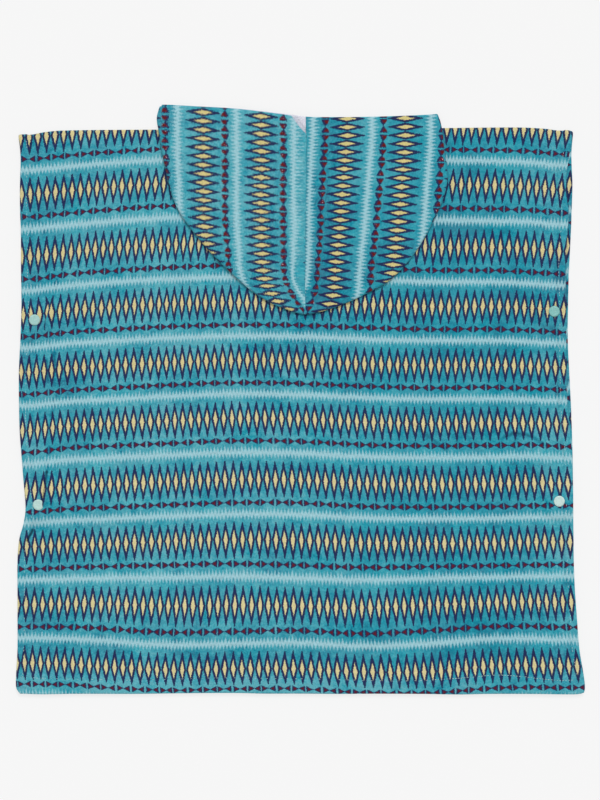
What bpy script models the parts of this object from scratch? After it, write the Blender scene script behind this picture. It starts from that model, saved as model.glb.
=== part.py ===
"""Hooded bath poncho, laid flat with its back panel up and its hood folded down over the back.

The model is in metres, +Z up. Sizes below are in millimetres, and add_object() turns them into metres.
The origin is on the floor under the middle of the outline, +X runs across the back to its right side,
and +Y runs up to the hood.

The body is one length of terry folded over the shoulders. Its sides are open, with two press studs a side.
"""

import math

import bpy

MILLIMETRE = 0.001

# Cloth
GAP = 0.3                 # left between pieces that touch
WALL = 2.0                # velour terry, one layer
HEM_WALL = 3.0            # terry turned under and sewn down
PRESSED_WALL = 1.2        # terry squeezed by a press stud
SIDE_HEM = 8.0            # width of the hems at the open sides
BOTTOM_HEM = 16.0         # width of the hem at the bottom
HEM_STEP = 2.5            # over which a hem thins out to one layer
FRONT_INSET = 1.5         # how far the front panel's left side lies inside the back panel's
INSET_RUN = 30.0          # length below the shoulder over which that grows
SHARP_ANGLE = 35.0        # edges bent more than this many degrees stay crisp

# Where the body's rows of points lie, up its length
BOTTOM_Y = -314.2
FOLD_RADIUS = (2 * WALL + GAP) / 2
ROW_STEP = 36.0
COLUMN_STEP = 44.0
NEAR_EDGE = (0.0, 4.0, SIDE_HEM, SIDE_HEM + HEM_STEP, 14.0, 20.5, 28.0, 42.0)
NEAR_STUD = (-28.0, -16.0, -7.0, 0.0, 7.0, 16.0, 28.0)
FOLD_TURN = (60.0, 25.0, -25.0, -60.0)

# Side edges of the panels, from the shoulders down: the left edge, the right edge of the back panel
# on top, and the right edge of the front panel, which shows beside it.
SIDES = (
    # y,     left, back_right, front_right
    (284.0, -301.0, 290.5, 290.5),
    (265.0, -298.6, 287.0, 288.8),
    (250.0, -298.2, 284.9, 288.9),
    (230.0, -298.9, 282.8, 289.8),
    (202.0, -298.8, 285.6, 289.0),
    (180.0, -298.0, 284.5, 288.2),
    (136.0, -297.8, 282.4, 286.0),
    (95.0, -297.3, 282.9, 285.0),
    (63.0, -298.5, 283.0, 284.8),
    (32.0, -300.0, 283.2, 286.2),
    (0.0, -300.0, 284.0, 287.9),
    (-33.0, -299.2, 287.0, 289.2),
    (-60.0, -297.3, 289.5, 290.0),
    (-89.0, -294.9, 290.2, 290.3),
    (-116.0, -292.8, 290.4, 290.5),
    (-133.0, -295.4, 290.6, 290.7),
    (-148.0, -299.6, 290.8, 290.9),
    (-171.0, -301.5, 291.0, 291.2),
    (-203.0, -301.5, 292.3, 292.4),
    (-235.0, -301.5, 294.6, 294.4),
    (-265.0, -301.5, 296.9, 296.5),
    (-297.0, -303.0, 302.0, 301.0),
    (-309.0, -302.8, 303.0, 302.0),
    (-314.2, -299.0, 302.0, 301.0),
)

# The fold over the shoulders
SHOULDER = (
    # x,      y
    (-301.0, 281.5),
    (-286.0, 282.7),
    (-273.0, 285.0),
    (-255.0, 286.4),
    (-160.0, 287.1),
    (0.0, 288.4),
    (150.0, 289.6),
    (234.0, 290.2),
    (261.0, 288.8),
    (272.0, 286.2),
    (291.0, 284.7),
)

# Long soft ridges where the back panel stands off the front panel
RIDGES = (
    # x0,     y0,     x1,     y1,     width, height
    (-250.0, -105.0, -120.0, -135.0, 30.0, 1.6),
    (-215.0, -225.0, 90.0, -245.0, 38.0, 1.8),
    (120.0, -150.0, 235.0, -262.0, 36.0, 1.6),
    (215.0, 30.0, 245.0, -60.0, 30.0, 1.4),
    (-245.0, 60.0, -225.0, -30.0, 28.0, 1.2),
)

# Neck opening, cut at the fold under the hood
NECK_HALF_WIDTH = 125.0
NECK_BACK_DROP = 6.0
NECK_FRONT_DROP = 60.0
NECK_POINTS = 24
NECK_CUT_ABOVE = 10.0     # the opening is cut clear of the fold by this
NECK_CUT_OVERLAP = 0.06   # where the cuts through the two panels meet, between them

# Hood, folded flat: each row runs from the centre seam out to the left and right folded edges
HOOD_ROWS = (
    # seam_y, left_x, left_y, right_x, right_y
    (301.5, -148.6, 314.2, 146.0, 304.3),
    (286.0, -152.4, 299.5, 149.5, 294.1),
    (272.0, -150.8, 284.0, 151.9, 279.1),
    (257.0, -148.6, 268.0, 153.4, 263.5),
    (239.0, -144.6, 249.0, 155.8, 247.5),
    (224.0, -141.0, 231.6, 156.4, 232.5),
    (210.0, -136.4, 215.5, 151.8, 213.5),
    (193.0, -127.2, 196.5, 143.2, 194.0),
    (173.0, -109.9, 173.0, 133.6, 175.1),
    (155.0, -92.3, 152.8, 122.6, 157.6),
    (140.0, -74.9, 135.7, 109.4, 140.8),
    (124.0, -53.4, 116.9, 93.0, 125.8),
    (112.0, -31.4, 102.9, 69.6, 112.6),
    (103.5, -12.9, 95.4, 42.0, 100.2),
    (98.5, -2.2, 92.0, 20.5, 93.4),
    (96.0, 5.2, 90.6, 5.2, 90.6),
)
# The hood's open edge, across the top
RIM = (
    # x,      y
    (-148.6, 314.2),
    (-107.0, 312.3),
    (-70.0, 310.6),
    (-32.0, 306.6),
    (-11.0, 304.0),
    (6.4, 301.5),
    (25.0, 301.0),
    (64.0, 301.1),
    (106.0, 302.2),
    (133.0, 303.4),
    (146.0, 304.3),
)
# The centre seam, which wanders a little from side to side
SEAM = (
    # y,     x
    (301.5, 6.4),
    (205.0, 5.6),
    (120.0, 4.8),
    (90.0, 5.2),
)
# The seam is left open at the hood's edge, where the left half is turned back in a small V
NOTCH_DEPTH = 20.0
NOTCH_WIDTH = 17.0
RIM_ROWS = 3.0            # over which the rows straighten out below the open edge
STRAIGHT_ROWS = 4.0       # where the folded edge still runs straight down
HOOD_ROW_COUNT = 31
HOOD_ACROSS = (0.0, 0.06, 0.16, 0.3, 0.45, 0.6, 0.75, 0.88, 0.96, 1.0)
HOOD_FOLD_TURN = (60.0, 25.0, -25.0, -60.0)
HOOD_LOFT = 1.6           # how far the hood's two layers part in the middle
HOOD_LOFT_RUN = 0.4       # share of the hood, from its point up, over which that grows
HOOD_EDGE_LOFT = 0.9      # how far they part at the folded edge
HOOD_EDGE_RUN = 0.25      # and the share over which that grows
HOOD_LEVEL_STEP = 0.05    # share of a row either side of a level, to find the edge's direction
HOOD_DROOP = 0.0035       # sag of the part beyond the shoulders, per millimetre squared

# Press studs: where each pair is, and the sizes of its four plastic pieces
STUDS = (
    # name,         x,      y
    ("left_upper", -283.3, 85.1),
    ("left_lower", -279.2, -111.8),
    ("right_upper", 270.1, 94.2),
    ("right_lower", 275.4, -108.0),
)
CAP_RADIUS = 5.9
CAP_CROWN_RADIUS = 4.2
CAP_RIM = 0.6
CAP_CHAMFER = 0.2
CAP_HEIGHT = 1.4
CAP_SHOULDER_IN = 0.45    # the shoulder's share of the way in to the crown
CAP_SHOULDER_UP = 0.72    # and of the way up from the rim
POST_RADIUS = 1.3
BALL_BASE_RADIUS = 5.0
BALL_BASE = 0.8
BALL_RADIUS = 2.6
BALL_HEIGHT = 1.9
BALL_CHAMFER = 0.5
SOCKET_RADIUS = 5.2
SOCKET_HEIGHT = 2.4
SOCKET_WEB = 0.5
STUD_SEGMENTS = 18
BORE_ROOF = 0.6           # plastic left above the post in the ball
POST_STOP = 0.15          # the back cap's post stops this far above the socket's recess
CUT_LOW = -5.0            # cutters reach from here
CUT_HIGH = 15.0           # to here
PRESSED_RADIUS = 10.0     # cloth is flat and thin out to here
THICK_RADIUS = 18.0       # has its own thickness again from here
FRONT_SPREAD = 20.0       # the front panel is back on the floor here
BACK_SPREAD = 26.0        # and the back panel on the front panel here

# Heights of a stud's layers, from the floor up
FRONT_CLOTH_Z = CAP_HEIGHT + GAP
BALL_Z = FRONT_CLOTH_Z + PRESSED_WALL + GAP
BALL_TOP_Z = BALL_Z + BALL_BASE + BALL_HEIGHT
SOCKET_Z = BALL_Z + BALL_BASE + GAP
SOCKET_TOP_Z = SOCKET_Z + SOCKET_HEIGHT
BACK_CLOTH_Z = SOCKET_TOP_Z + GAP
BACK_CAP_Z = BACK_CLOTH_Z + PRESSED_WALL + GAP

HOOD_Z = 2 * WALL + 2 * GAP   # underside of the hood, lying on the back panel

TERRY = (0.10, 0.36, 0.43, 1.0)
MINT = (0.50, 0.72, 0.60, 1.0)


# ---------------------------------------------------------------- helpers

def clear_scene():
    for item in list(bpy.data.objects):
        bpy.data.objects.remove(item, do_unlink=True)


def blend(start, end, share):
    return start + (end - start) * share


def ease(value):
    """Goes smoothly from 0 to 1 as value does."""
    value = min(1.0, max(0.0, value))
    return value * value * (3.0 - 2.0 * value)


def read(table, key, column):
    """Value of a table's column at a key, which is the first column, on a smooth curve through its rows."""
    rows = table if table[0][0] < table[-1][0] else table[::-1]
    key = min(max(key, rows[0][0]), rows[-1][0])
    last = len(rows) - 1
    at = next(i for i in range(last) if key <= rows[i + 1][0])

    def slope(i):
        low, high = max(i - 1, 0), min(i + 1, last)
        return (rows[high][column] - rows[low][column]) / (rows[high][0] - rows[low][0])

    span = rows[at + 1][0] - rows[at][0]
    t = (key - rows[at][0]) / span
    here, there = rows[at][column], rows[at + 1][column]
    return ((2 * t**3 - 3 * t**2 + 1) * here + (t**3 - 2 * t**2 + t) * span * slope(at)
            + (3 * t**2 - 2 * t**3) * there + (t**3 - t**2) * span * slope(at + 1))


def filled(levels, step):
    """Adds evenly spaced levels wherever two neighbours are further apart than step."""
    result = [levels[0]]
    for low, high in zip(levels, levels[1:]):
        parts = math.ceil((high - low) / step - 1e-6)
        result += [blend(low, high, k / parts) for k in range(1, parts + 1)]
    return result


def material(name, colour, roughness):
    finish = bpy.data.materials.new(name)
    finish.use_nodes = True
    shader = finish.node_tree.nodes["Principled BSDF"]
    shader.inputs["Base Color"].default_value = colour
    shader.inputs["Roughness"].default_value = roughness
    shader.inputs["Metallic"].default_value = 0.0
    return finish


def add_object(name, points, faces, colour, roughness):
    """Makes an object from points in millimetres."""
    mesh = bpy.data.meshes.new(name)
    mesh.from_pydata([[c * MILLIMETRE for c in point] for point in points], [], faces)
    mesh.materials.append(material(name, colour, roughness))
    mesh.shade_smooth()
    mesh.set_sharp_from_angle(angle=math.radians(SHARP_ANGLE))
    item = bpy.data.objects.new(name, mesh)
    bpy.context.scene.collection.objects.link(item)
    return item


def add_cutter(name, target, points, faces):
    """Cuts a closed shape out of the target with a Boolean."""
    cutter = add_object(name, points, faces, TERRY, 0.9)
    cutter.hide_render = True
    cutter.display_type = "WIRE"
    cut = target.modifiers.new(name, "BOOLEAN")
    cut.operation = "DIFFERENCE"
    cut.object = cutter


def circle(x, y, radius):
    turns = [2 * math.pi * k / STUD_SEGMENTS for k in range(STUD_SEGMENTS)]
    return [(x + radius * math.cos(turn), y + radius * math.sin(turn)) for turn in turns]


def prism(outline, low, high):
    """Points and faces of an upright prism on a counterclockwise outline."""
    count = len(outline)
    points = [(x, y, low) for x, y in outline] + [(x, y, high) for x, y in outline]
    faces = [(i, (i + 1) % count, count + (i + 1) % count, count + i) for i in range(count)]
    faces += [tuple(reversed(range(count))), tuple(range(count, 2 * count))]
    return points, faces


def cloth_wall(name, outer, inner):
    """A closed sheet of cloth between two matching grids of points: its printed face and its reverse."""
    rows, columns = len(outer), len(outer[0])
    points = [p for row in outer for p in row] + [p for row in inner for p in row]
    reverse = rows * columns
    faces = []
    for r in range(rows - 1):
        for c in range(columns - 1):
            a, b = r * columns + c, r * columns + c + 1
            d, e = a + columns, b + columns
            faces += [(a, b, e, d), (reverse + a, reverse + d, reverse + e, reverse + b)]
    for r in range(rows - 1):
        for c, flip in ((0, False), (columns - 1, True)):
            a, d = r * columns + c, (r + 1) * columns + c
            side = (a, d, reverse + d, reverse + a)
            faces.append(side[::-1] if flip else side)
    for c in range(columns - 1):
        for r, flip in ((0, True), (rows - 1, False)):
            a, b = r * columns + c, r * columns + c + 1
            end = (a, b, reverse + b, reverse + a)
            faces.append(end[::-1] if flip else end)
    return add_object(name, points, faces, TERRY, 0.95)


# ---------------------------------------------------------------- body

def stud_share(x, y, spread):
    """1 over a press stud, 0 further than spread from all of them."""
    nearest = min(math.hypot(x - stud_x, y - stud_y) for _, stud_x, stud_y in STUDS)
    return ease((spread - nearest) / (spread - PRESSED_RADIUS))


def ridge_height(x, y):
    total = 0.0
    for x0, y0, x1, y1, width, height in RIDGES:
        along = ((x - x0) * (x1 - x0) + (y - y0) * (y1 - y0)) / ((x1 - x0) ** 2 + (y1 - y0) ** 2)
        along = min(1.0, max(0.0, along))
        away = math.hypot(x - blend(x0, x1, along), y - blend(y0, y1, along))
        total += height * ease(1.0 - away / width)
    return total


def wall_thickness(x, y, left, right):
    """Thickness of a panel: thicker in the hems, thinner where a stud squeezes it."""
    from_side = min(x - left, right - x)
    hem = max(ease((SIDE_HEM + HEM_STEP - from_side) / HEM_STEP),
              ease((BOTTOM_Y + BOTTOM_HEM + HEM_STEP - y) / HEM_STEP))
    return blend(blend(WALL, HEM_WALL, hem), PRESSED_WALL, stud_share(x, y, THICK_RADIUS))


def panel_heights(x, y, left, right):
    """Underside and top of the front panel, then of the back panel, over one point of the floor."""
    thickness = wall_thickness(x, y, left, right)
    near = stud_share(x, y, BACK_SPREAD)
    front_low = FRONT_CLOTH_Z * stud_share(x, y, FRONT_SPREAD)
    front_high = front_low + thickness
    back_low = blend(front_high + GAP + ridge_height(x, y), BACK_CLOTH_Z, near)
    return front_low, front_high, back_low, back_low + thickness


def body_columns():
    """Shares of the width at which the body's columns of points lie."""
    width = SIDES[0][2] - SIDES[0][1]
    levels = list(NEAR_EDGE) + [width - level for level in reversed(NEAR_EDGE)]
    return [level / width for level in filled(levels, COLUMN_STEP)]


def body_rows():
    """Heights of the rows at the left and right sides, which differ because the studs' heights do."""
    heights = {name: y for name, _, y in STUDS}
    top = (SHOULDER[0][1] - FOLD_RADIUS, SHOULDER[-1][1] - FOLD_RADIUS)
    hem = [0.0, BOTTOM_HEM / 2, BOTTOM_HEM, BOTTOM_HEM + HEM_STEP]
    sides = []
    for end, side in enumerate(("left", "right")):
        levels = [BOTTOM_Y + level for level in hem]
        levels += [heights[side + "_lower"] + offset for offset in NEAR_STUD]
        levels += [heights[side + "_upper"] + offset for offset in NEAR_STUD]
        sides.append(levels + [top[end]])
    rows = [(sides[0][0], sides[1][0])]
    for k in range(len(sides[0]) - 1):
        parts = math.ceil((sides[0][k + 1] - sides[0][k]) / ROW_STEP)
        rows += [tuple(blend(side[k], side[k + 1], n / parts) for side in sides) for n in range(1, parts + 1)]
    return rows


def row_point(share, row, panel):
    """A point of a panel on the floor plan, with the panel's side edges at that height."""
    y = blend(row[0], row[1], share)
    right_column = 2 if panel == "back" else 3
    left = read(SIDES, row[0], 1)
    right = read(SIDES, row[1], right_column)
    if panel == "front":
        left += FRONT_INSET * ease((SHOULDER[0][1] - row[0]) / INSET_RUN)
    x = blend(left, right, share)
    straight = blend(SHOULDER[0][1], SHOULDER[-1][1], share)
    upper_stud = STUDS[0][2]
    climb = ease((y - upper_stud) / (straight - upper_stud - FOLD_RADIUS))
    return x, y + climb * (read(SHOULDER, x, 1) - straight), left, right


def make_body():
    columns, rows = body_columns(), body_rows()
    outer, inner = [], []
    for row in rows:
        spots = [row_point(share, row, "back") for share in columns]
        heights = [panel_heights(*spot) for spot in spots]
        outer.append([(spot[0], spot[1], level[3]) for spot, level in zip(spots, heights)])
        inner.append([(spot[0], spot[1], level[2]) for spot, level in zip(spots, heights)])
    top = [row_point(share, rows[-1], "back") for share in columns]
    for turn in FOLD_TURN:
        angle = math.radians(turn)
        along = (90.0 - turn) / 180.0
        fold_outer, fold_inner = [], []
        for x, y, left, right in top:
            low, front_high, back_low, high = panel_heights(x, y, left, right)
            middle, wall = (low + high) / 2, front_high - low
            radius = (high - low) / 2
            for grid, reach in ((fold_outer, radius), (fold_inner, radius - wall)):
                grid.append((x, y + reach * math.cos(angle), middle + reach * math.sin(angle)))
        outer.append(fold_outer)
        inner.append(fold_inner)
    for row in reversed(rows):
        spots = [row_point(share, row, "front") for share in columns]
        heights = [panel_heights(*spot) for spot in spots]
        outer.append([(spot[0], spot[1], level[0]) for spot, level in zip(spots, heights)])
        inner.append([(spot[0], spot[1], level[1]) for spot, level in zip(spots, heights)])
    body = cloth_wall("body", outer, inner)
    cut_neck(body)
    cut_post_holes(body)


def cut_neck(body):
    """Opens the fold at the neck, with a scooped front neckline."""
    above = SHOULDER[5][1] + NECK_CUT_ABOVE
    between = WALL + GAP / 2
    back_line = SHOULDER[5][1] - NECK_BACK_DROP
    scoop = []
    for k in range(NECK_POINTS + 1):
        angle = math.pi * (1 + k / NECK_POINTS)
        scoop.append((NECK_HALF_WIDTH * math.cos(angle),
                      back_line + (NECK_FRONT_DROP - NECK_BACK_DROP) * math.sin(angle)))
    front = scoop + [(NECK_HALF_WIDTH, above), (-NECK_HALF_WIDTH, above)]
    back = [(-NECK_HALF_WIDTH, back_line), (NECK_HALF_WIDTH, back_line),
            (NECK_HALF_WIDTH, above), (-NECK_HALF_WIDTH, above)]
    add_cutter("neck_front_cutter", body, *prism(front, CUT_LOW, between + NECK_CUT_OVERLAP))
    add_cutter("neck_back_cutter", body, *prism(back, between - NECK_CUT_OVERLAP, CUT_HIGH))


def cut_post_holes(body):
    points, faces = [], []
    hole = POST_RADIUS + GAP
    for _, x, y in STUDS:
        ring_points, ring_faces = prism(circle(x, y, hole), CUT_LOW, CUT_HIGH)
        faces += [tuple(len(points) + i for i in face) for face in ring_faces]
        points += ring_points
    add_cutter("post_hole_cutter", body, points, faces)


# ---------------------------------------------------------------- hood

def hood_row(level, x_column):
    """The seam's height and the folded edge's place at a level between the hood's rows."""
    table = [(k, *row) for k, row in enumerate(HOOD_ROWS)]
    return (read(table, level, 1), read(table, level, x_column + 1), read(table, level, x_column + 2))


def hood_height(x, y):
    """Underside of the hood: on the back panel, and sagging beyond the shoulders."""
    beyond = max(0.0, y - read(SHOULDER, x, 1))
    return HOOD_Z - HOOD_DROOP * beyond**2


def rim_rise(x, edge_x, edge_y, level):
    """How far the open edge curves up from a straight line, fading out over the first rows."""
    if level >= RIM_ROWS:
        return 0.0
    seam_y = HOOD_ROWS[0][0]
    share = (x - SEAM[0][1]) / (edge_x - SEAM[0][1])
    return (read(RIM, x, 1) - blend(seam_y, edge_y, share)) * ease(1.0 - level / RIM_ROWS)


def outward(level, x_column, side):
    """Direction on the floor plan that points out of the hood, square to its folded edge."""
    last = len(HOOD_ROWS) - 1
    if level == last:
        return 0.0, -1.0
    before = hood_row(max(level - HOOD_LEVEL_STEP, 0.0), x_column)
    after = hood_row(min(level + HOOD_LEVEL_STEP, last), x_column)
    run = math.hypot(after[1] - before[1], after[2] - before[2])
    down = -abs(after[1] - before[1]) / run if level > STRAIGHT_ROWS else 0.0
    return side * abs(after[2] - before[2]) / run, down


def make_hood_half(name, x_column, side):
    """One half of the hood: its top layer, the folded edge and the layer beneath."""
    outer, inner = [], []
    last = len(HOOD_ROWS) - 1
    rim_x, rim_y = HOOD_ROWS[0][x_column], HOOD_ROWS[0][x_column + 1]
    for k in range(HOOD_ROW_COUNT):
        level = last * k / (HOOD_ROW_COUNT - 1)
        seam_y, edge_x, edge_y = hood_row(level, x_column)
        seam_x = read(SEAM, seam_y, 1) + side * GAP / 2
        out_x, out_y = outward(level, x_column, side)
        fullness = 1.0 - level / last
        radius = WALL + (GAP + HOOD_EDGE_LOFT * ease(fullness / HOOD_EDGE_RUN)) / 2
        end_x = (seam_x if level == last else edge_x) - out_x * radius
        end_y = edge_y - out_y * radius
        opened = max(0.0, 1.0 - (HOOD_ROWS[0][0] - seam_y) / NOTCH_DEPTH)
        top_x = seam_x - NOTCH_WIDTH * opened if side < 0 else seam_x

        def layer_point(share, start_x):
            x, y = blend(start_x, end_x, share), blend(seam_y, end_y, share)
            y += rim_rise(x, rim_x, rim_y, level)
            return x, y, hood_height(x, y)

        low = [layer_point(share, seam_x) for share in HOOD_ACROSS]
        top = []
        for share in HOOD_ACROSS:
            x, y, z = layer_point(share, top_x)
            swell = HOOD_LOFT * math.sin(math.pi * share) * ease(fullness / HOOD_LOFT_RUN)
            top.append((x, y, z + WALL + blend(GAP, 2 * (radius - WALL), share**3) + swell))
        fold_outer, fold_inner = [], []
        middle = hood_height(end_x, end_y) + radius
        for turn in HOOD_FOLD_TURN:
            angle = math.radians(turn)
            for grid, reach in ((fold_outer, radius), (fold_inner, radius - WALL)):
                out = reach * math.cos(angle)
                grid.append((end_x + out_x * out, end_y + out_y * out, middle + reach * math.sin(angle)))
        outer.append([(x, y, z + WALL) for x, y, z in top] + fold_outer + low[::-1])
        inner.append(top + fold_inner + [(x, y, z + WALL) for x, y, z in low[::-1]])
    if side < 0:
        outer, inner = [row[::-1] for row in outer], [row[::-1] for row in inner]
    cloth_wall(name, outer[::-1], inner[::-1])


# ---------------------------------------------------------------- press studs

def make_turned(name, profile, x, y):
    """A round piece turned about an upright axis. A profile from axis to axis is solid all through."""
    solid = profile[0][0] == 0.0
    rings = profile[1:-1] if solid else profile
    points = [(*at, z) for r, z in rings for at in circle(x, y, r)]
    faces = []
    for ring in range(len(rings) - 1 if solid else len(rings)):
        above = (ring + 1) % len(rings)
        for k in range(STUD_SEGMENTS):
            turn = (k + 1) % STUD_SEGMENTS
            faces.append((ring * STUD_SEGMENTS + k, ring * STUD_SEGMENTS + turn,
                          above * STUD_SEGMENTS + turn, above * STUD_SEGMENTS + k))
    if solid:
        last = (len(rings) - 1) * STUD_SEGMENTS
        faces.append(tuple(reversed(range(STUD_SEGMENTS))))
        faces.append(tuple(range(last, last + STUD_SEGMENTS)))
    add_object(name, points, faces, MINT, 0.35)


def cap_profile(base, direction, post_end):
    """A flat-domed cap whose rim lies towards the cloth, with the post that goes through the cloth."""
    crown = base + direction * CAP_HEIGHT
    rim = base + direction * CAP_RIM
    shoulder = (blend(CAP_RADIUS, CAP_CROWN_RADIUS, CAP_SHOULDER_IN), blend(rim, crown, CAP_SHOULDER_UP))
    profile = [(0.0, post_end), (POST_RADIUS, post_end), (POST_RADIUS, base),
               (CAP_RADIUS - CAP_CHAMFER, base), (CAP_RADIUS, base + direction * CAP_CHAMFER),
               (CAP_RADIUS, rim), shoulder, (CAP_CROWN_RADIUS, crown), (0.0, crown)]
    return profile if direction > 0 else profile[::-1]


def make_stud(name, x, y):
    post_hole = POST_RADIUS + GAP
    recess = BALL_RADIUS + GAP
    recess_top = SOCKET_TOP_Z - SOCKET_WEB
    bore_top = BALL_TOP_Z - BORE_ROOF
    make_turned("stud_" + name + "_back_cap", cap_profile(BACK_CAP_Z, 1, recess_top + POST_STOP), x, y)
    make_turned("stud_" + name + "_socket", [
        (recess, SOCKET_Z), (SOCKET_RADIUS, SOCKET_Z), (SOCKET_RADIUS, SOCKET_TOP_Z),
        (post_hole, SOCKET_TOP_Z), (post_hole, recess_top), (recess, recess_top)], x, y)
    make_turned("stud_" + name + "_ball", [
        (0.0, bore_top), (post_hole, bore_top), (post_hole, BALL_Z), (BALL_BASE_RADIUS, BALL_Z),
        (BALL_BASE_RADIUS, BALL_Z + BALL_BASE), (BALL_RADIUS, BALL_Z + BALL_BASE),
        (BALL_RADIUS, BALL_TOP_Z - BALL_CHAMFER), (BALL_RADIUS - BALL_CHAMFER, BALL_TOP_Z),
        (0.0, BALL_TOP_Z)], x, y)
    make_turned("stud_" + name + "_front_cap", cap_profile(CAP_HEIGHT, -1, bore_top - GAP), x, y)


def main():
    clear_scene()
    make_body()
    make_hood_half("hood_left", 1, -1)
    make_hood_half("hood_right", 3, 1)
    for name, x, y in STUDS:
        make_stud(name, x, y)


main()
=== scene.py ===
import math

import bmesh
import bpy
import numpy as np
from mathutils import Matrix, Vector


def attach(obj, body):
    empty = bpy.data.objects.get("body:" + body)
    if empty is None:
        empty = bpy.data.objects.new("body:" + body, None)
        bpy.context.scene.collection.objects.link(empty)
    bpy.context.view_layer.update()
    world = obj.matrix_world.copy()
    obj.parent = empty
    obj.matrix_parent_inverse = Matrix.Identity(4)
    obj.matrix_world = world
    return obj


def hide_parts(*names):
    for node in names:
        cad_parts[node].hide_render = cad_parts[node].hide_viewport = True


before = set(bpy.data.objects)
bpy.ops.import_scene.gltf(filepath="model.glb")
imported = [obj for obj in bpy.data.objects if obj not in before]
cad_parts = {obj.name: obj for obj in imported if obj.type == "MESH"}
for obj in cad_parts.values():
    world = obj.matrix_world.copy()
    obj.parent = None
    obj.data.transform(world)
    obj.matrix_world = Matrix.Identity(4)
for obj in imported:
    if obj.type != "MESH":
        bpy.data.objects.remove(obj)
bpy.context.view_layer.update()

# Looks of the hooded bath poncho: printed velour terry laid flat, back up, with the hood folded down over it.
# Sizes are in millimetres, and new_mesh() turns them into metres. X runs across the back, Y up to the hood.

MILLIMETRE = 0.001

# ---------------------------------------------------------------- sizes of the cloth

GAP = 0.3
WALL = 2.0
HEM_WALL = 3.0
PRESSED_WALL = 1.2
SIDE_HEM = 8.0
BOTTOM_HEM = 16.0
HEM_STEP = 2.5
FRONT_INSET = 1.5
INSET_RUN = 30.0
BOTTOM_Y = -314.2
FOLD_RADIUS = (2 * WALL + GAP) / 2
HEM_TURN = 0.6            # the turned-under hem ends this far past its stitches
ROW_INSET = 0.8           # the stitches lie this far inside the hem's doubled cloth
# Grooves that rows of stitches pull into the cloth: half width, least depth, and what unevenness adds
SIDE_GROOVE = (1.7, 0.3, 0.2)
BOTTOM_GROOVE = (2.2, 0.5, 0.45)
RIM_GROOVE = (2.2, 0.2, 0.3)
EDGE_ROLL = 1.5           # radius to which a sewn edge is rounded
THIN_EDGE = 0.15          # thickness left at the very edge

# Grid of the body, as distances from its sides and from its bottom edge
NEAR_SIDE = (0.0, 0.25, 0.7, 1.5, 2.5, 4.0, 5.5, 6.3, 7.1, 7.9, 8.7, 9.7, 11.0)
FINE_SIDE = 34.0          # columns are FINE_STEP apart out to here, for the studs and the tucks
FINE_STEP = 1.6
COLUMN_STEP = 5.0
NEAR_BOTTOM = (0.0, 0.25, 0.7, 1.5, 2.5, 4.5, 7.0, 10.0, 12.5, 14.0, 14.8, 15.6, 16.4, 17.2, 18.5, 21.0)
ROW_STEP = 4.5
FRONT_ROW_STEP = 7.5
FOLD_STEPS = 13

SIDES = (
    # y, left, back_right, front_right
    (284, -301, 290.5, 290.5), (265, -298.6, 287, 288.8), (250, -298.2, 284.9, 288.9), (230, -298.9, 282.8, 289.8),
    (202, -298.8, 285.6, 289), (180, -298, 284.5, 288.2), (136, -297.8, 282.4, 286), (95, -297.3, 282.9, 285),
    (63, -298.5, 283, 284.8), (32, -300, 283.2, 286.2), (0, -300, 284, 287.9), (-33, -299.2, 287, 289.2),
    (-60, -297.3, 289.5, 290), (-89, -294.9, 290.2, 290.3), (-116, -292.8, 290.4, 290.5), (-133, -295.4, 290.6, 290.7),
    (-148, -299.6, 290.8, 290.9), (-171, -301.5, 291, 291.2), (-203, -301.5, 292.3, 292.4),
    (-235, -301.5, 294.6, 294.4), (-265, -301.5, 296.9, 296.5), (-297, -303, 302, 301), (-309, -302.8, 303, 302),
    (-314.2, -299, 302, 301),
)
SHOULDER = (
    # x, y
    (-301, 281.5), (-286, 282.7), (-273, 285.2), (-255, 286.9), (-160, 287.9), (0, 288.4), (150, 289.6), (234, 290.2),
    (261, 288.8), (272, 287.2), (284, 286.4), (291, 284.7),
)
BOTTOM_EDGE = (
    # x, y
    (-300, -313), (-275, -313.7), (-240, -313.2), (-180, -313.3), (-140, -312.8), (-100, -312.4), (-65, -312.4),
    (-40, -313), (0, -313), (35, -313.3), (80, -313.1), (130, -313.3), (170, -313.9), (200, -313.3), (250, -313.4),
    (290, -313.8), (298, -313.2), (303, -311.4),
)
HEM_LINE = (
    # x, y of the bottom hem's row of stitches
    (-294.3, -295.7), (-261.3, -296.6), (-192, -298.6), (-138.7, -297.4), (-80, -296.3), (-21.4, -296.6),
    (42.5, -298.2), (106.5, -299.3), (140.6, -298.4), (175.8, -296), (207.8, -292.9), (234.4, -294.5), (255.7, -297.2),
    (277, -299), (298.4, -297.9),
)
HEM_ROW = 15.2            # row of the body's grid that follows it, up from the bottom edge
HEM_EASE = 45.0
# Broad soft folds, as the solids have them, and then fainter ones
RIDGES = (
    # x0, y0, x1, y1, width, height
    (-250, -105, -120, -135, 30, 1.6), (-215, -225, 90, -245, 38, 1.8), (120, -150, 235, -262, 36, 1.6),
    (215, 30, 245, -60, 30, 1.4), (-245, 60, -225, -30, 28, 1.2),
)
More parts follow.
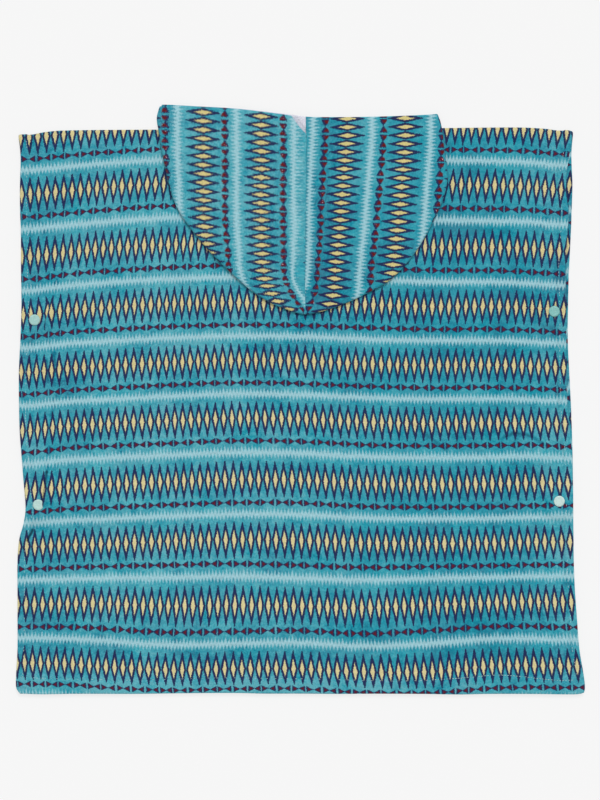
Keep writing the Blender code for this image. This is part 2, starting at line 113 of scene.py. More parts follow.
# Creases from folding and from the studs' pull. Each drops from a ridge on the left of its line to a trough on
# the right of it, over its width on each side.
CREASES = (
    # x0, y0, x1, y1, width, depth
    (-116.5, 166, -113.5, 138, 4, 0.7), (-233.5, 148, -241.5, 128, 4, 0.7), (-92, 83, -73, 54, 5, 0.7),
    (-36, 27, 26, 9, 9, 0.7), (-120, -29, -86, -52, 5, 0.4), (-156, -21, -153, -36, 4, 0.6),
    (-267.5, 61, -261, 38, 4.5, 0.7), (-260.7, 54, -263.2, 12, 4.5, 0.9), (-260.3, 4, -265.6, -21, 5, 1.2),
    (-259, -62, -260, -92, 4, 0.7), (-127, -91, -117.5, -149, 4, 0.9), (-172, -65, -165, -86, 4, 0.6),
    (-154, -95, -149, -110, 4, 0.6), (43, -98, 68, -115, 4, 0.7), (111, -18, 158, -56, 6.5, 1.1),
    (213, -41, 229, -34.5, 6, 1.2), (227, -35, 245, -38, 6, 1.3), (243, -37.5, 263, -49, 5.5, 1.1),
    (259, -103, 270, -122, 4, 0.8), (255, -220, 262, -244, 5, 0.7), (183, 82, 187, 59, 4, 0.6),
    (221, 14, 244, 1, 4, 0.8), (195, -57, 214, -90, 5, 0.7), (238, -61, 255, -86, 4.5, 0.8),
    (111, -65, 115, -90, 4, 0.7), (108, -120, 119, -176, 6, 0.5), (-283, -137, -291, -150, 3, 0.7),
    (257, 122, 262, 98, 4.5, 0.6),
)
# Painted shade along pinches beside the left studs, too narrow for a crease: dark lines in the pile's colour, with no
# relief of their own
PINCH_SHADE_LINES = (
    # x0, y0, x1, y1, width, depth
    (-268, -50, -270.4, -77, 2.6, 1.2), (-270.4, -77, -274.2, -104, 2.8, 2), (-279, -121, -283, -135, 2.6, 1),
    (-285.5, -138.5, -291.6, -150.5, 2.8, 2.1), (-270.5, 43, -268.8, 20, 2.8, 1.5), (-259, 128, -262, 118, 2.6, 1.2),
)
CREASE_PEAK = 1.54        # brings a crease's ridge and trough to 1 and -1
CREASE_HEIGHT = 0.65      # share of its depth that each of them has
CREASE_LEAST = 0.3        # share of a crease's form left where the cloth is held down
CREASE_TOP = 284.0        # no creases above this height
CREASE_CUTS = 2           # the cloth's squares along a crease are cut across this many times each way
CUT_WIDTHS = 1.4          # and this far from its line, in its own widths and then in millimetres
CUT_MARGIN = 2.0
CREASE_SHADE = 1.0        # painted shade: how much deeper the pile's colour is made on a crease's falling side
CREASE_SHINE = 0.5        # and painted highlight: how much paler it is made along its ridge
# Tucks pushed up beside the left studs: each stands up along a line and falls away to the right of it
TUCKS = (
    # x0, y0, x1, y1, height, run, hidden diamonds
    (-270.8, -80, -276.2, -119, 3.2, 7, 0), (-264, 112, -274.2, 74, 1.5, 6, 0.55),
)
TUCK_GATHER = 5.0         # columns this near a tuck are drawn towards it
TUCK_CROWDING = 1.2       # above 1 they crowd more towards it
TUCK_BRINK = 0.5          # width of a tuck's sudden edge
DRAWN_LEFT = 20.0         # the print is drawn into a tuck from this far on its left
DRAWN_RIGHT = 10.0        # and on its right
DRAWN_SHARE = 0.62        # the left side's share of the diamonds that it hides
TUCK_END = 10.0           # over which a tuck dies away at its ends

CREASE_LIFT = 1.3         # the back panel stands off the front one by this where it may crease
CREASE_RUN = 26.0         # from its edges, the hood and the studs over which it comes up

NECK_HALF_WIDTH = 125.0
NECK_LINE = 282.4
NECK_SCOOP = 54.0
NECK_EASE = 100.0         # rows below this height are not moved by the neckline

# ---------------------------------------------------------------- sizes of the hood

HOOD_ROWS = (
    # seam_y, left_x, left_y, right_x, right_y
    (301.5, -150.2, 312.6, 146, 304.3), (286, -153.2, 299.5, 149.5, 294.1), (272, -150.8, 284, 151.9, 279.1),
    (257, -148.6, 268, 153.4, 263.5), (239, -144.6, 249, 155.8, 247.5), (224, -141, 231.6, 156.4, 232.5),
    (210, -136.4, 215.5, 151.8, 213.5), (193, -127.2, 196.5, 143.2, 194), (173, -109.9, 173, 133.6, 175.1),
    (155, -92.3, 152.8, 122.6, 157.6), (140, -74.9, 135.7, 109.4, 140.8), (124, -53.4, 116.9, 93, 125.8),
    (112, -31.4, 102.9, 69.6, 112.6), (103.5, -12.9, 95.4, 42, 100.2), (98.5, -2.2, 92, 20.5, 93.4),
    (96, 5.2, 90.6, 5.2, 90.6),
)
RIM = (
    # x, y
    (-150.2, 312.6), (-147, 314.2), (-107, 312.5), (-70, 310.6), (-32, 306.6), (-11, 304), (6.4, 301.5), (25, 301),
    (64, 301.1), (106, 302.2), (133, 303.4), (146, 304.3),
)
SEAM = (
    # y, x
    (301.5, 5.5), (288, 5.6), (280, 6.3), (205, 5.6), (120, 4.8), (90, 5.2),
)
SEAM_GAP = 0.05           # between the two halves' cloth, which a row of stitches closes up
SEAM_DIP = 0.3
SEAM_RUN = 2.5
SEAM_TAKE_UP = 10.0       # width over which the seam takes up the print
NOTCH_DEPTH = 18.0
NOTCH_WIDTH = 15.3
NOTCH_BEND = 0.85         # below 1 the notch stays wide for longer on its way down
NOTCH_FULLNESS = 3.3      # how far the reverse puffs up in the notch
NOTCH_RUN = 7.0
NOTCH_PUFF = 3.0          # how soon down the notch the puff is gone
RIM_ROWS = 3.0
STRAIGHT_ROWS = 4.0
HOOD_Z = 2 * WALL + 2 * GAP
HOOD_LOFT = 1.6
HOOD_LOFT_RUN = 0.4
HOOD_EDGE_LOFT = 0.9
HOOD_EDGE_RUN = 0.25
HOOD_DROOP = 0.0035
HOOD_LEVEL_STEP = 0.05
HOOD_ROW_COUNT = 120
HOOD_NEAR_RIM = (0.0, 0.02, 0.05, 0.1, 0.17, 0.26)
HOOD_NEAR_SEAM = (0.0, 0.004, 0.01, 0.018, 0.028, 0.045, 0.07)
HOOD_TOP_COLUMNS = 52
HOOD_FOLD_STEPS = 11
HOOD_UNDER_COLUMNS = 30
HOOD_CROWDING = 1.7       # above 1 the columns beneath crowd towards the seam
RIM_HEM = 11.0            # from the open edge down to its row of stitches

# ---------------------------------------------------------------- sizes of the print

COLUMN_WIDTH = 8.9        # one diamond to the next
REPEAT_HEIGHT = 62.2      # one row of diamonds to the next
FOOT_REPEAT = 90.0        # the same where the print is drawn out towards the bottom edge

# Where the rows of diamonds, and the bands between them, lie on the back panel: their heights at places across it
ROW_PLACES = (-285.8, -245.0, -215.4, -145.1, -74.7, -4.4, 66.0, 136.3, 206.7, 243.0, 277.1)
ROW_HEIGHTS = (
    # count, height at each place
    (0, 279.8, 283.4, 286, 288.9, 288.9, 288.9, 289.1, 289.1, 289, 287.8, 284.5),
    (0.475, 250.3, 254.4, 257.1, 261.3, 261.3, 261.2, 261.3, 260.8, 260.1, 258.8, 255.6),
    (1, 218.9, 222.9, 225.7, 230.5, 230.6, 230.6, 230.6, 229.5, 228.5, 226.9, 223.4),
    (1.475, 188.6, 192.6, 195.3, 200, 200.4, 200.2, 199.4, 197.9, 196.9, 195.8, 192.8),
    (2, 152.8, 157.2, 160.8, 165.1, 167, 166.6, 164.9, 162.6, 162, 161.1, 158.1),
    (2.475, 122.2, 127.8, 130.2, 134.4, 136.8, 136.3, 134.8, 131.7, 131.5, 129.8, 127.5),
    (3, 90.3, 95.7, 97.6, 102.1, 103.4, 102.9, 101.5, 99.2, 99.6, 97.9, 95.8),
    (3.475, 61.3, 66, 67.9, 71.6, 73.6, 73.5, 70.6, 69, 69.1, 67.7, 65.6),
    (4, 29.3, 33.6, 35.6, 39.4, 41.9, 41.4, 38.4, 36.9, 37.1, 35.9, 34.3),
    (4.475, -0.2, 4.1, 5.7, 9.3, 12.1, 11.4, 8.3, 6.6, 7.1, 6, 4.5),
    (5, -32.6, -27.7, -25.9, -22.7, -19.7, -20.2, -23.5, -25.5, -24.7, -25, -25.6),
    (5.475, -62.1, -57.2, -55.8, -52.9, -49.8, -50.4, -54, -55.2, -54.7, -53.9, -56.1),
    (6, -96.9, -92.3, -90.8, -87.5, -85.1, -85.3, -89, -89.8, -89.4, -88.7, -89.2),
    (6.475, -125.5, -122.2, -121.1, -118.3, -116, -115.9, -119.9, -120.6, -120, -119.1, -118.7),
    (7, -156.5, -154.6, -153.9, -150.6, -148.7, -149.4, -152.1, -153.2, -152.7, -151.6, -151.5),
    (7.475, -186.2, -184.8, -183.8, -182.7, -181.1, -182.9, -185.3, -183.9, -182.7, -182.1, -181.8),
    (8, -218.2, -217.1, -216.9, -219.6, -218.9, -219.6, -221.5, -218.5, -216.2, -214.8, -215.3),
    (8.475, -247.7, -248.4, -249.8, -254.8, -253.9, -252.3, -256.1, -252.9, -247.7, -247.8, -249.3),
    (9, -280.1, -281.6, -284, -287.8, -286.7, -286.4, -289.9, -290, -283.5, -283.3, -284),
    (9.475, -308.4, -309, -311.2, -314.7, -313.3, -312.9, -317.2, -317.8, -313, -311.9, -312.3),
)
# Where certain diamonds of each row lie across it, counted from the left side
DIAMOND_COUNTS = (0, 5, 11, 17, 22, 33, 44, 55, 61, 65)
DIAMOND_PLACES = (
    # row, place of each counted diamond
    (0, -298.4, -252.3, -197.7, -142.4, -98.2, -1.8, 94.7, 191.2, 247.2, 283.6),
    (1, -297, -252.1, -199.1, -145.6, -103, -5.8, 91.5, 188.7, 242.9, 277.4),
    (2, -296.9, -253, -201.6, -149.1, -108.2, -10.8, 88.4, 185.9, 239.7, 275.4),
    (3, -295, -256.5, -203.3, -150.8, -110.1, -12.6, 86.5, 185.2, 238.5, 271.2),
    (4, -297.5, -257.1, -204.1, -151.2, -109.1, -12.7, 85.8, 182.9, 235.9, 271.4),
    (5, -296, -256, -204.5, -151.1, -108.3, -11.6, 86.6, 183.5, 236.9, 272.6),
    (6, -301, -256.4, -203.1, -149.7, -107.2, -8.9, 89, 186.4, 239.8, 275.7),
    (7, -300.2, -257.3, -203.9, -149.9, -106.6, -8.2, 91, 188.7, 242.3, 278),
    (8, -301.3, -257, -203.4, -149.7, -105.8, -7.4, 92.4, 191.4, 244.7, 279.3),
    (9, -302.3, -260.3, -207.3, -153, -108.3, -7.6, 95.6, 194.7, 249, 285.7),
    (10, -298.3, -256.3, -203.3, -149.2, -104.3, -3.6, 99.6, 198.7, 253, 289.7),
)
FRONT_SHIFT = 5.8         # the front panel's print lies this much higher than the back's
FRONT_SHIFT_RUN = 60.0

# The hood's print runs down it: where the lines of repeats 1, 0, -1 and -2 lie at each height, and how
# many diamonds up from the seam's foot each of the two middle lines counts there
HOOD_PRINT_LEFT = (
    # y, line_1, line_0, line_-1, line_-2, count_0, count_-1
    (313.7, 21.6, -42.1, -103.6, -168.1, 17.3, 16.81), (295.1, 21.6, -42, -103.6, -168.1, 15.29, 14.83),
    (256.7, 21.6, -41.5, -103.5, -167.5, 11.17, 10.73), (224, 21.6, -42, -103.2, -165.1, 7.63, 7.23),
    (205.5, 21.6, -42.3, -103, -163.7, 5.58, 5.25), (179.9, 21.6, -41.7, -101.6, -162.1, 2.71, 2.51),
    (154.4, 21.6, -41.1, -98.2, -158.9, -0.12, -0.25), (141.6, 21, -40.7, -97.6, -157.9, -1.56, -1.62),
    (128.8, 21.6, -38.5, -92.8, -153.6, -3.01, -2.99), (116, 27.6, -33.4, -85.4, -147.2, -4.65, -4.35),
    (103.2, 28.7, -22.5, -72.6, -134.4, -6.2, -5.72), (95.2, 24.4, -9.7, -60.9, -122.7, -7.1, -6.58),
)
HOOD_PRINT_RIGHT = (
    # y, line_1, line_0, line_-1, line_-2, count_0, count_-1
    (313.7, -12.2, 50, 111.6, 175.4, -1.63, -1.53), (295.1, -12.3, 49.9, 111.4, 174.8, 0.45, 0.5),
    (282.3, -12.4, 49.8, 111.6, 174.3, 1.88, 1.9), (256.7, -12.7, 47.4, 110, 173.1, 4.79, 4.73),
    (231.1, -13, 45.2, 107.8, 171.2, 7.62, 7.51), (205.5, -13, 43.1, 105.6, 169.4, 10.45, 10.29),
    (179.9, -13, 41.2, 102.9, 167.4, 13.31, 13.06), (154.4, -13, 38.3, 99.7, 164.1, 16.17, 15.85),
    (141.6, -13, 36.5, 98.2, 162.5, 17.6, 17.24), (128.8, -13.6, 35.8, 97.8, 161.9, 19.02, 18.64),
    (116, -16.5, 35, 96.9, 160.9, 20.45, 20.03), (103.2, -22, 31.1, 93.2, 157.1, 21.88, 21.43),
    (95.2, -23.4, 26.5, 88.4, 152.3, 22.77, 22.3),
)

HOOD_SEAM_TABLE = (
    # y, how far the pale band by the seam is drawn to the left, on the left and on the right half, and the
    #       share of a repeat that the seam takes up on the left half
    (313.7, 1.6, 0.2, 0.055), (282, 1.7, 1.6, 0.055), (256, 2, 2.1, 0.055), (220, 2.1, 2.3, 0.052),
    (200, 1.3, 2.1, 0.04), (175, 1.2, 1.4, 0.032), (164, 2.8, 0.7, 0.03), (151, 2.7, 0.7, 0.026), (139, 4, 1, 0.022),
    (126, 6.2, 1.6, 0.015), (113, 5, 4.5, 0), (107, 0.5, 4.5, 0), (95, 0, 4, 0),
)
PALE_MIDDLE = 0.57        # the pale band's middle, as a share of a repeat
PALE_REACH = 0.18         # how far from the pale band that draw dies away, as a share of a repeat

# Nap: 0 where the pile looks deep and 1 where it is brushed pale and hazy, the haze a painted sheen, and below 0 where
# painted shade darkens it
NAP_ACROSS = (
    # x, nap
    (-302, 0.56), (-281, 0.6), (-249, 0.74), (-210, 0.9), (-120, 0.93), (-85, 0.83), (-26, 0.75), (38, 0.68),
    (102, 0.52), (150, 0.36), (198, 0.3), (230, 0.37), (262, 0.7), (302, 0.74),
)
NAP_UP = (
    # y, change
    (-314, 0.75), (-298, 0.5), (-290, 0.1), (-280, -0.3), (-268, -0.36), (-245, -0.16), (-210, 0), (-85, 0),
    (-54, 0.12), (-28, 0), (150, 0), (290, -0.08),
)
# Some patches are painted shade: beside the hood's right edge at (108, 134) and (150, 200), and along a broad low fold
# at y -251. The one at (-4, 72) makes it darker below the hood's tip.
NAP_AND_SHADE_PATCHES = (
    # x, y, reach_x, reach_y, change
    (205, -54, 120, 34, 0.2), (262, -62, 30, 46, 0.2), (-217, -22, 30, 26, -0.35), (-252, 40, 34, 66, -0.3),
    (-282, 140, 30, 130, -0.18), (-4, 72, 80, 72, -0.36), (92, 92, 80, 56, -0.25), (108, 40, 60, 30, -0.15),
    (160, 140, 44, 110, -0.25), (240, 112, 60, 60, -0.42), (250, 235, 70, 56, 0.4), (166, -212, 60, 40, -0.3),
    (190, -280, 60, 36, -0.2), (115, -152, 56, 30, -0.2), (-8, -242, 70, 26, -0.2), (-60, -60, 60, 30, -0.1),
    (-150, -251, 90, 13, -0.5), (40, -251, 120, 12, -0.35), (283, 122, 16, 26, -1), (290, 215, 14, 90, -0.8),
    (108, 134, 30, 18, -0.8), (150, 200, 16, 36, -0.6), (277, 130, 44, 190, -0.25), (-103, -273, 70, 14, -0.3),
    (100, -273, 70, 14, 0.25), (255, -306, 70, 16, -0.3), (-270, -306, 60, 16, -0.25), (165, 165, 50, 70, -0.2),
    (277, -95, 30, 140, 0.25), (175, -165, 50, 60, -0.2), (-192, 172, 44, 70, 0.2),
)
HOOD_NAP_LEFT = (
    # y, nap
    (90, 0.45), (130, 0.62), (170, 0.85), (215, 1), (315, 0.95),
)
# Change of the left half's nap across it: painted shade towards its folded left edge, and a little paler by the seam
HOOD_LEFT_NAP_AND_EDGE_SHADE = (
    # x, change
    (-152, -0.75), (-138, -0.55), (-126, 0), (-20, 0), (-6, 0.1), (6, 0.1),
)
# The right half's nap across it, with painted shade towards its folded right edge
HOOD_RIGHT_NAP_AND_EDGE_SHADE = (
    # x, nap
    (4, 0.55), (18, 0.4), (32, 0.25), (40, 0.42), (70, 0.82), (102, 0.6), (130, 0.6), (144, 0.25), (156, 0),
)
HOOD_NAP_RIGHT_UP = (
    # y, change
    (90, -0.5), (140, -0.62), (175, -0.46), (215, -0.1), (270, 0),
)
RUFFLED_BODY = 0.15       # how far the pile is ruffled, which blurs the print
RUFFLED_LEFT = 1.0
RUFFLED_RIGHT = 0.4
LOOP_SIZE = 1.5           # of the reverse

# ---------------------------------------------------------------- sizes of the studs

STUDS = (
    # name, x, y
    ("left_upper", -283.3, 85.1), ("left_lower", -279.2, -111.8), ("right_upper", 270.1, 94.2),
    ("right_lower", 275.4, -108),
)
PRESSED_RADIUS = 10.0
THICK_RADIUS = 18.0
FRONT_SPREAD = 20.0
BACK_SPREAD = 26.0
CAP_HEIGHT = 1.4
FRONT_CLOTH_Z = CAP_HEIGHT + GAP
BACK_CLOTH_Z = 7.0
BACK_CAP_Z = 8.5
POST_HOLE = 2.0
HOLE_REACH = 6.0
LEAST_AWAY = 0.01         # for a point on the post's own axis
CAP_SEGMENTS = 56
# Half section of a cap from the axis out, with heights up from the cloth
CAP_SECTION = (
    # radius, height
    (0, 1.34), (0.35, 1.34), (0.55, 1.26), (1.1, 1.24), (2.4, 1.26), (3.3, 1.32), (4, 1.39), (4.6, 1.38), (5.1, 1.22),
    (5.5, 0.95), (5.78, 0.62), (5.88, 0.36), (5.85, 0.14), (5.7, 0.02), (4.8, 0), (0, 0),
)

# ---------------------------------------------------------------- stitches

STITCH_SIZES = {"Pitch": 3.1, "Length": 2.3, "Width": 0.55, "Height": 0.4}
STITCH_SINK = 0.5
STITCH_SEED = 7
PATH_STEP = 1.5
FRONT_THREAD_Z = 0.25     # up from the front panel's underside
BACK_THREAD_Z = 0.1       # up from the back panel's top
THREAD_LIFT = 0.3         # the bottom hem's thread stands out more towards the right
THREAD_LIFT_FROM = 130.0
THREAD_LIFT_RUN = 60.0
HEM_ROW_REACH = 290.0
SIDE_ROW_FOOT = BOTTOM_Y + BOTTOM_HEM + 3.2
SIDE_ROW_TOP = 276.0

# ---------------------------------------------------------------- camera and set

FRAME_HEIGHT = 800
PIXEL = 1.066             # millimetres of the cloth to a pixel
CAMERA_HEIGHT = 6.0
CAMERA_X = -0.0006
CAMERA_Y = -0.0002
SENSOR = 36.0
FLOOR_SIZE = 15000.0
FLOOR_Z = -0.2
WHITE = (1.0, 1.0, 1.0, 1.0)


# ================================================================ helpers

def blend(start, end, share):
    return start + (end - start) * share


def ease(value):
    value = np.clip(value, 0.0, 1.0)
    return value * value * (3.0 - 2.0 * value)


def fade(distance, reach):
    """Goes softly from 1 at no distance to 0 at reach."""
    return ease(1.0 - distance / reach)


def read(table, key, column=1):
    """Values of a table's column at keys, which are in the first column, on a smooth curve through its rows."""
    rows = np.array(table, float)
    rows = rows[np.argsort(rows[:, 0])]
    keys, values = rows[:, 0], rows[:, column]
    key = np.clip(key, keys[0], keys[-1])
    last = len(keys) - 1
    low, high = np.maximum(np.arange(last + 1) - 1, 0), np.minimum(np.arange(last + 1) + 1, last)
    slopes = (values[high] - values[low]) / (keys[high] - keys[low])
    at = np.clip(np.searchsorted(keys, key, side="left") - 1, 0, last - 1)
    span = keys[at + 1] - keys[at]
    t = (key - keys[at]) / span
    return ((2 * t**3 - 3 * t**2 + 1) * values[at] + (t**3 - 2 * t**2 + t) * span * slopes[at]
            + (3 * t**2 - 2 * t**3) * values[at + 1] + (t**3 - t**2) * span * slopes[at + 1])


def spread(start, end, step):
    """Evenly spaced levels after start, up to end, about step apart."""
    count = max(1, math.ceil((end - start) / step))
    return [blend(start, end, k / count) for k in range(1, count + 1)]


def spots(x, y, z):
    return np.stack([x, y, z], axis=-1)


def along_line(x, y, line):
    """How far points are from a short line, and how far along it they are, from 0 to 1."""
    x0, y0, x1, y1 = line
    share = ((x - x0) * (x1 - x0) + (y - y0) * (y1 - y0)) / ((x1 - x0) ** 2 + (y1 - y0) ** 2)
    share = np.clip(share, 0.0, 1.0)
    return np.hypot(x - blend(x0, x1, share), y - blend(y0, y1, share)), share


def beside_tuck(x, y, tuck):
    """How far points are to the right of a tuck, and how much of it there is at their height."""
    x0, y0, x1, y1 = tuck[:4]
    share = (y - y0) / (y1 - y0)
    length = abs(y1 - y0)
    present = ease(share * length / TUCK_END) * ease((1.0 - share) * length / TUCK_END)
    return x - blend(x0, x1, share), present


def count_at(counts, lines, place, before, after):
    """What a place counts between lines of known counts. before and after are one count's width past the end lines."""
    total = np.zeros_like(place)
    for k, (near, far) in enumerate(zip(lines, lines[1:])):
        total += (counts[k + 1] - counts[k]) * np.clip((place - near) / (far - near), 0.0, 1.0)
    return total + np.minimum((place - lines[0]) / before, 0.0) + np.maximum((place - lines[-1]) / after, 0.0)


def show(name, data):
    """Puts a mesh, a lamp or the camera in the scene."""
    item = bpy.data.objects.new(name, data)
    bpy.context.scene.collection.objects.link(item)
    return item


def new_mesh(name, points, edges, faces, finishes=()):
    """A mesh of points given in millimetres."""
    mesh = bpy.data.meshes.new(name)
    mesh.from_pydata((np.array(points) * MILLIMETRE).tolist(), edges, faces)
    for finish in finishes:
        mesh.materials.append(finish)
    return mesh


# ================================================================ print coordinates

def body_print(x, y):
    """Diamond and repeat counts of the back panel's print at points of the floor plan."""
    heights = [read(list(zip(ROW_PLACES, row[1:])), x) for row in ROW_HEIGHTS]
    repeat = count_at([row[0] for row in ROW_HEIGHTS], heights, y, -REPEAT_HEIGHT, -FOOT_REPEAT)
    lines = [read([(row[0], row[1 + k]) for row in DIAMOND_PLACES], repeat) for k in range(len(DIAMOND_COUNTS))]
    diamond = count_at(DIAMOND_COUNTS, lines, x, COLUMN_WIDTH, COLUMN_WIDTH)
    for tuck in TUCKS:
        right, present = beside_tuck(x, y, tuck)
        before, after = fade(-right, DRAWN_LEFT) * (right < 0), fade(right, DRAWN_RIGHT) * (right >= 0)
        diamond += tuck[6] * present * ((1.0 - DRAWN_SHARE) * after - DRAWN_SHARE * before)
    return diamond, repeat


def front_print(x, y):
    """The same on the front panel, where the print runs on over the shoulders."""
    shift = FRONT_SHIFT * ease((read(SHOULDER, x) - y) / FRONT_SHIFT_RUN)
    diamond, repeat = body_print(x, y - shift)
    return diamond, -repeat


def hood_print(x, y, side):
    """The same on one half of the hood. side is -1 on the left half and 1 on the right one."""
    table = HOOD_PRINT_LEFT if side < 0 else HOOD_PRINT_RIGHT
    lines = [read(table, y, k) for k in range(1, 5)]
    repeat = 1.0 - count_at(range(4), lines, x, REPEAT_HEIGHT * side, REPEAT_HEIGHT * side)
    drawn = read(HOOD_SEAM_TABLE, y, 1 if side < 0 else 2) * -side / REPEAT_HEIGHT
    repeat = repeat + drawn * fade(np.abs(repeat - PALE_MIDDLE), PALE_REACH)
    if side < 0:
        repeat = repeat - read(HOOD_SEAM_TABLE, y, 3) * ease(x / SEAM_TAKE_UP + 0.5)
    (before, *_, count_before, _), (last, *_, count_last, _) = table[-2:]
    past = np.minimum(y - last, 0.0) / (last - before) * (count_last - count_before)
    return blend(read(table, y, 5), read(table, y, 6), -repeat) + past, repeat


# ================================================================ cloth shells

def cloth(name, outer, inner, places, nap_and_shade, ruffled, kept, turned_under, finishes):
    """A closed shell of cloth between two matching grids of points: its printed face and its reverse.

    kept says which squares of the grid there are, and turned_under where the reverse shows printed hem.
    """
    rows, columns = outer.shape[:2]
    index = np.arange(rows * columns).reshape(rows, columns)
    a, b, d, e = index[:-1, :-1], index[:-1, 1:], index[1:, :-1], index[1:, 1:]
    face = np.stack([a, b, e, d], axis=-1)[kept]
    under = rows * columns
    back = face[:, ::-1] + under
    gone = ~np.pad(kept, 1)
    walls = []
    for (p, q), beside in (((a, b), gone[:-2, 1:-1]), ((b, e), gone[1:-1, 2:]),
                           ((e, d), gone[2:, 1:-1]), ((d, a), gone[1:-1, :-2])):
        at = kept & beside
        walls.append(np.stack([q[at], p[at], p[at] + under, q[at] + under], axis=-1))
    walls = np.concatenate(walls)
    faces = np.concatenate([face, back, walls])
    finish = np.concatenate([np.zeros(len(face), int), np.where(turned_under[kept], 0, 1), np.zeros(len(walls), int)])
    used = np.unique(faces)

    def both(values, width):
        return np.concatenate([values.reshape(-1, width)] * 2)[used]

    points = np.concatenate([outer.reshape(-1, 3), inner.reshape(-1, 3)])[used]
    mesh = new_mesh(name, points, [], np.searchsorted(used, faces).tolist(), finishes)
    mesh.polygons.foreach_set("material_index", finish.astype(np.int32))
    corners = np.empty(len(mesh.loops), np.int32)
    mesh.loops.foreach_get("vertex_index", corners)
    layer = mesh.uv_layers.new(name="print")
    layer.data.foreach_set("uv", both(places, 2)[corners].astype(np.float32).ravel())
    for title, values in (("nap_and_shade", nap_and_shade), ("ruffled", np.full(nap_and_shade.shape, ruffled))):
        layer = mesh.attributes.new(title, "FLOAT", "POINT")
        layer.data.foreach_set("value", both(values, 1).astype(np.float32).ravel())
    mesh.shade_smooth()
    mesh.update()
    return show(name, mesh)


def rounded(low, high, from_edge):
    """Low and high faces of a wall, drawn together at its sewn edge."""
    middle, half = (low + high) / 2, (high - low) / 2
    bow = np.sqrt(np.clip(1.0 - (1.0 - np.clip(from_edge / EDGE_ROLL, 0.0, 1.0)) ** 2, 0.0, 1.0))
    half = np.maximum(half * bow, THIN_EDGE / 2)
    return middle - half, middle + half


def pucker(along, seed):
    """Uneven little pulls of a row of stitches, from 0 to 1: two short waves, which drift past each other."""
    return 0.5 + 0.25 * np.sin(along / 1.9 + seed) + 0.25 * np.sin(along / 1.13 + 2.3 * seed + np.sin(along / 31.0))


def groove(from_row, along, sizes, seed):
    """Depth of the groove that a row of stitches pulls into the cloth."""
    half_width, depth, more = sizes
    return fade(np.abs(from_row), half_width) * (depth + more * pucker(along, seed))


# ================================================================ body

def stud_share(x, y, reach):
    """1 where a stud presses the cloth, and less and less out to reach."""
    nearest = np.min([np.hypot(x - stud[1], y - stud[2]) for stud in STUDS], axis=0)
    return ease((reach - nearest) / (reach - PRESSED_RADIUS))


def folds(x, y):
    """Height of the broad folds, which fade at their ends."""
    return sum(height * fade(along_line(x, y, line)[0], width) for *line, width, height in RIDGES)


def tuck_height(x, y):
    total = np.zeros_like(x)
    for tuck in TUCKS:
        right, present = beside_tuck(x, y, tuck)
        total += tuck[4] * present * ease(right / TUCK_BRINK + 0.5) * fade(right, tuck[5])
    return total


def gather_at_tucks(x, y):
    """Draws the grid's columns towards the tucks, so that each has a clear edge."""
    for tuck in TUCKS:
        right, present = beside_tuck(x, y, tuck)
        near = np.clip(np.abs(right) / TUCK_GATHER, 0.0, 1.0)
        x = x + present * (right * near**TUCK_CROWDING - right) * (near < 1.0)
    return x


def hood_clearance(x, y):
    """How far points of the floor plan are outside the hood's outline; 0 under the hood."""
    outline = [(row[1], row[2]) for row in HOOD_ROWS] + [(row[3], row[4]) for row in reversed(HOOD_ROWS)]
    away = np.full(x.shape, np.inf)
    inside = np.zeros(x.shape, bool)
    for (x0, y0), (x1, y1) in zip(outline, outline[1:] + outline[:1]):
        if (x0, y0) == (x1, y1):
            continue
        away = np.minimum(away, along_line(x, y, (x0, y0, x1, y1))[0])
        if y0 != y1:
            inside ^= ((y0 > y) != (y1 > y)) & (x < (x1 - x0) * (y - y0) / (y1 - y0) + x0)
    return np.where(inside, 0.0, away)


def crease_profile(x, y, line, width):
    """Height of a crease at points, from 1 down to -1, and how steeply it falls there, from 0 to 1."""
    x0, y0, x1, y1 = line
    length = math.hypot(x1 - x0, y1 - y0)
    along = ((x - x0) * (x1 - x0) + (y - y0) * (y1 - y0)) / length
    right = ((x - x0) * (y1 - y0) - (y - y0) * (x1 - x0)) / length / width
    present = ease((along + width) / (2 * width)) * ease((length - along + width) / (2 * width)) * (np.abs(right) < 1)
    bell = (1.0 + np.cos(math.pi * right)) / 2
    return -CREASE_PEAK * np.sin(math.pi * right) * bell * present, bell**2 * present


def creases(x, y):
    height, falling = np.zeros_like(x), np.zeros_like(x)
    for *line, width, depth in CREASES:
        profile, steep = crease_profile(x, y, line, width)
        height += profile * depth * CREASE_HEIGHT
        falling += steep * depth
    return height, falling


def panel_sides(panel, left_y, right_y):
    """Where a panel's left and right sides lie at heights."""
    left, right = read(SIDES, left_y, 1), read(SIDES, right_y, 2 if panel == "back" else 3)
    if panel == "front":
        left = left + FRONT_INSET * ease((SHOULDER[0][1] - left_y) / INSET_RUN)
    return left, right


def from_side(x, sides):
    return np.minimum(x - sides[0], sides[1] - x)


def from_edge(x, y, sides):
    return np.minimum(from_side(x, sides), y - read(BOTTOM_EDGE, x))


def hem_groove(x, y, sides):
    at_side = groove(from_side(x, sides) - SIDE_HEM + ROW_INSET, y, SIDE_GROOVE, 1.0)
    at_bottom = groove(y - read(HEM_LINE, x), x, BOTTOM_GROOVE, 2.0)
    return np.maximum(at_side * (y > BOTTOM_Y + BOTTOM_HEM), at_bottom)


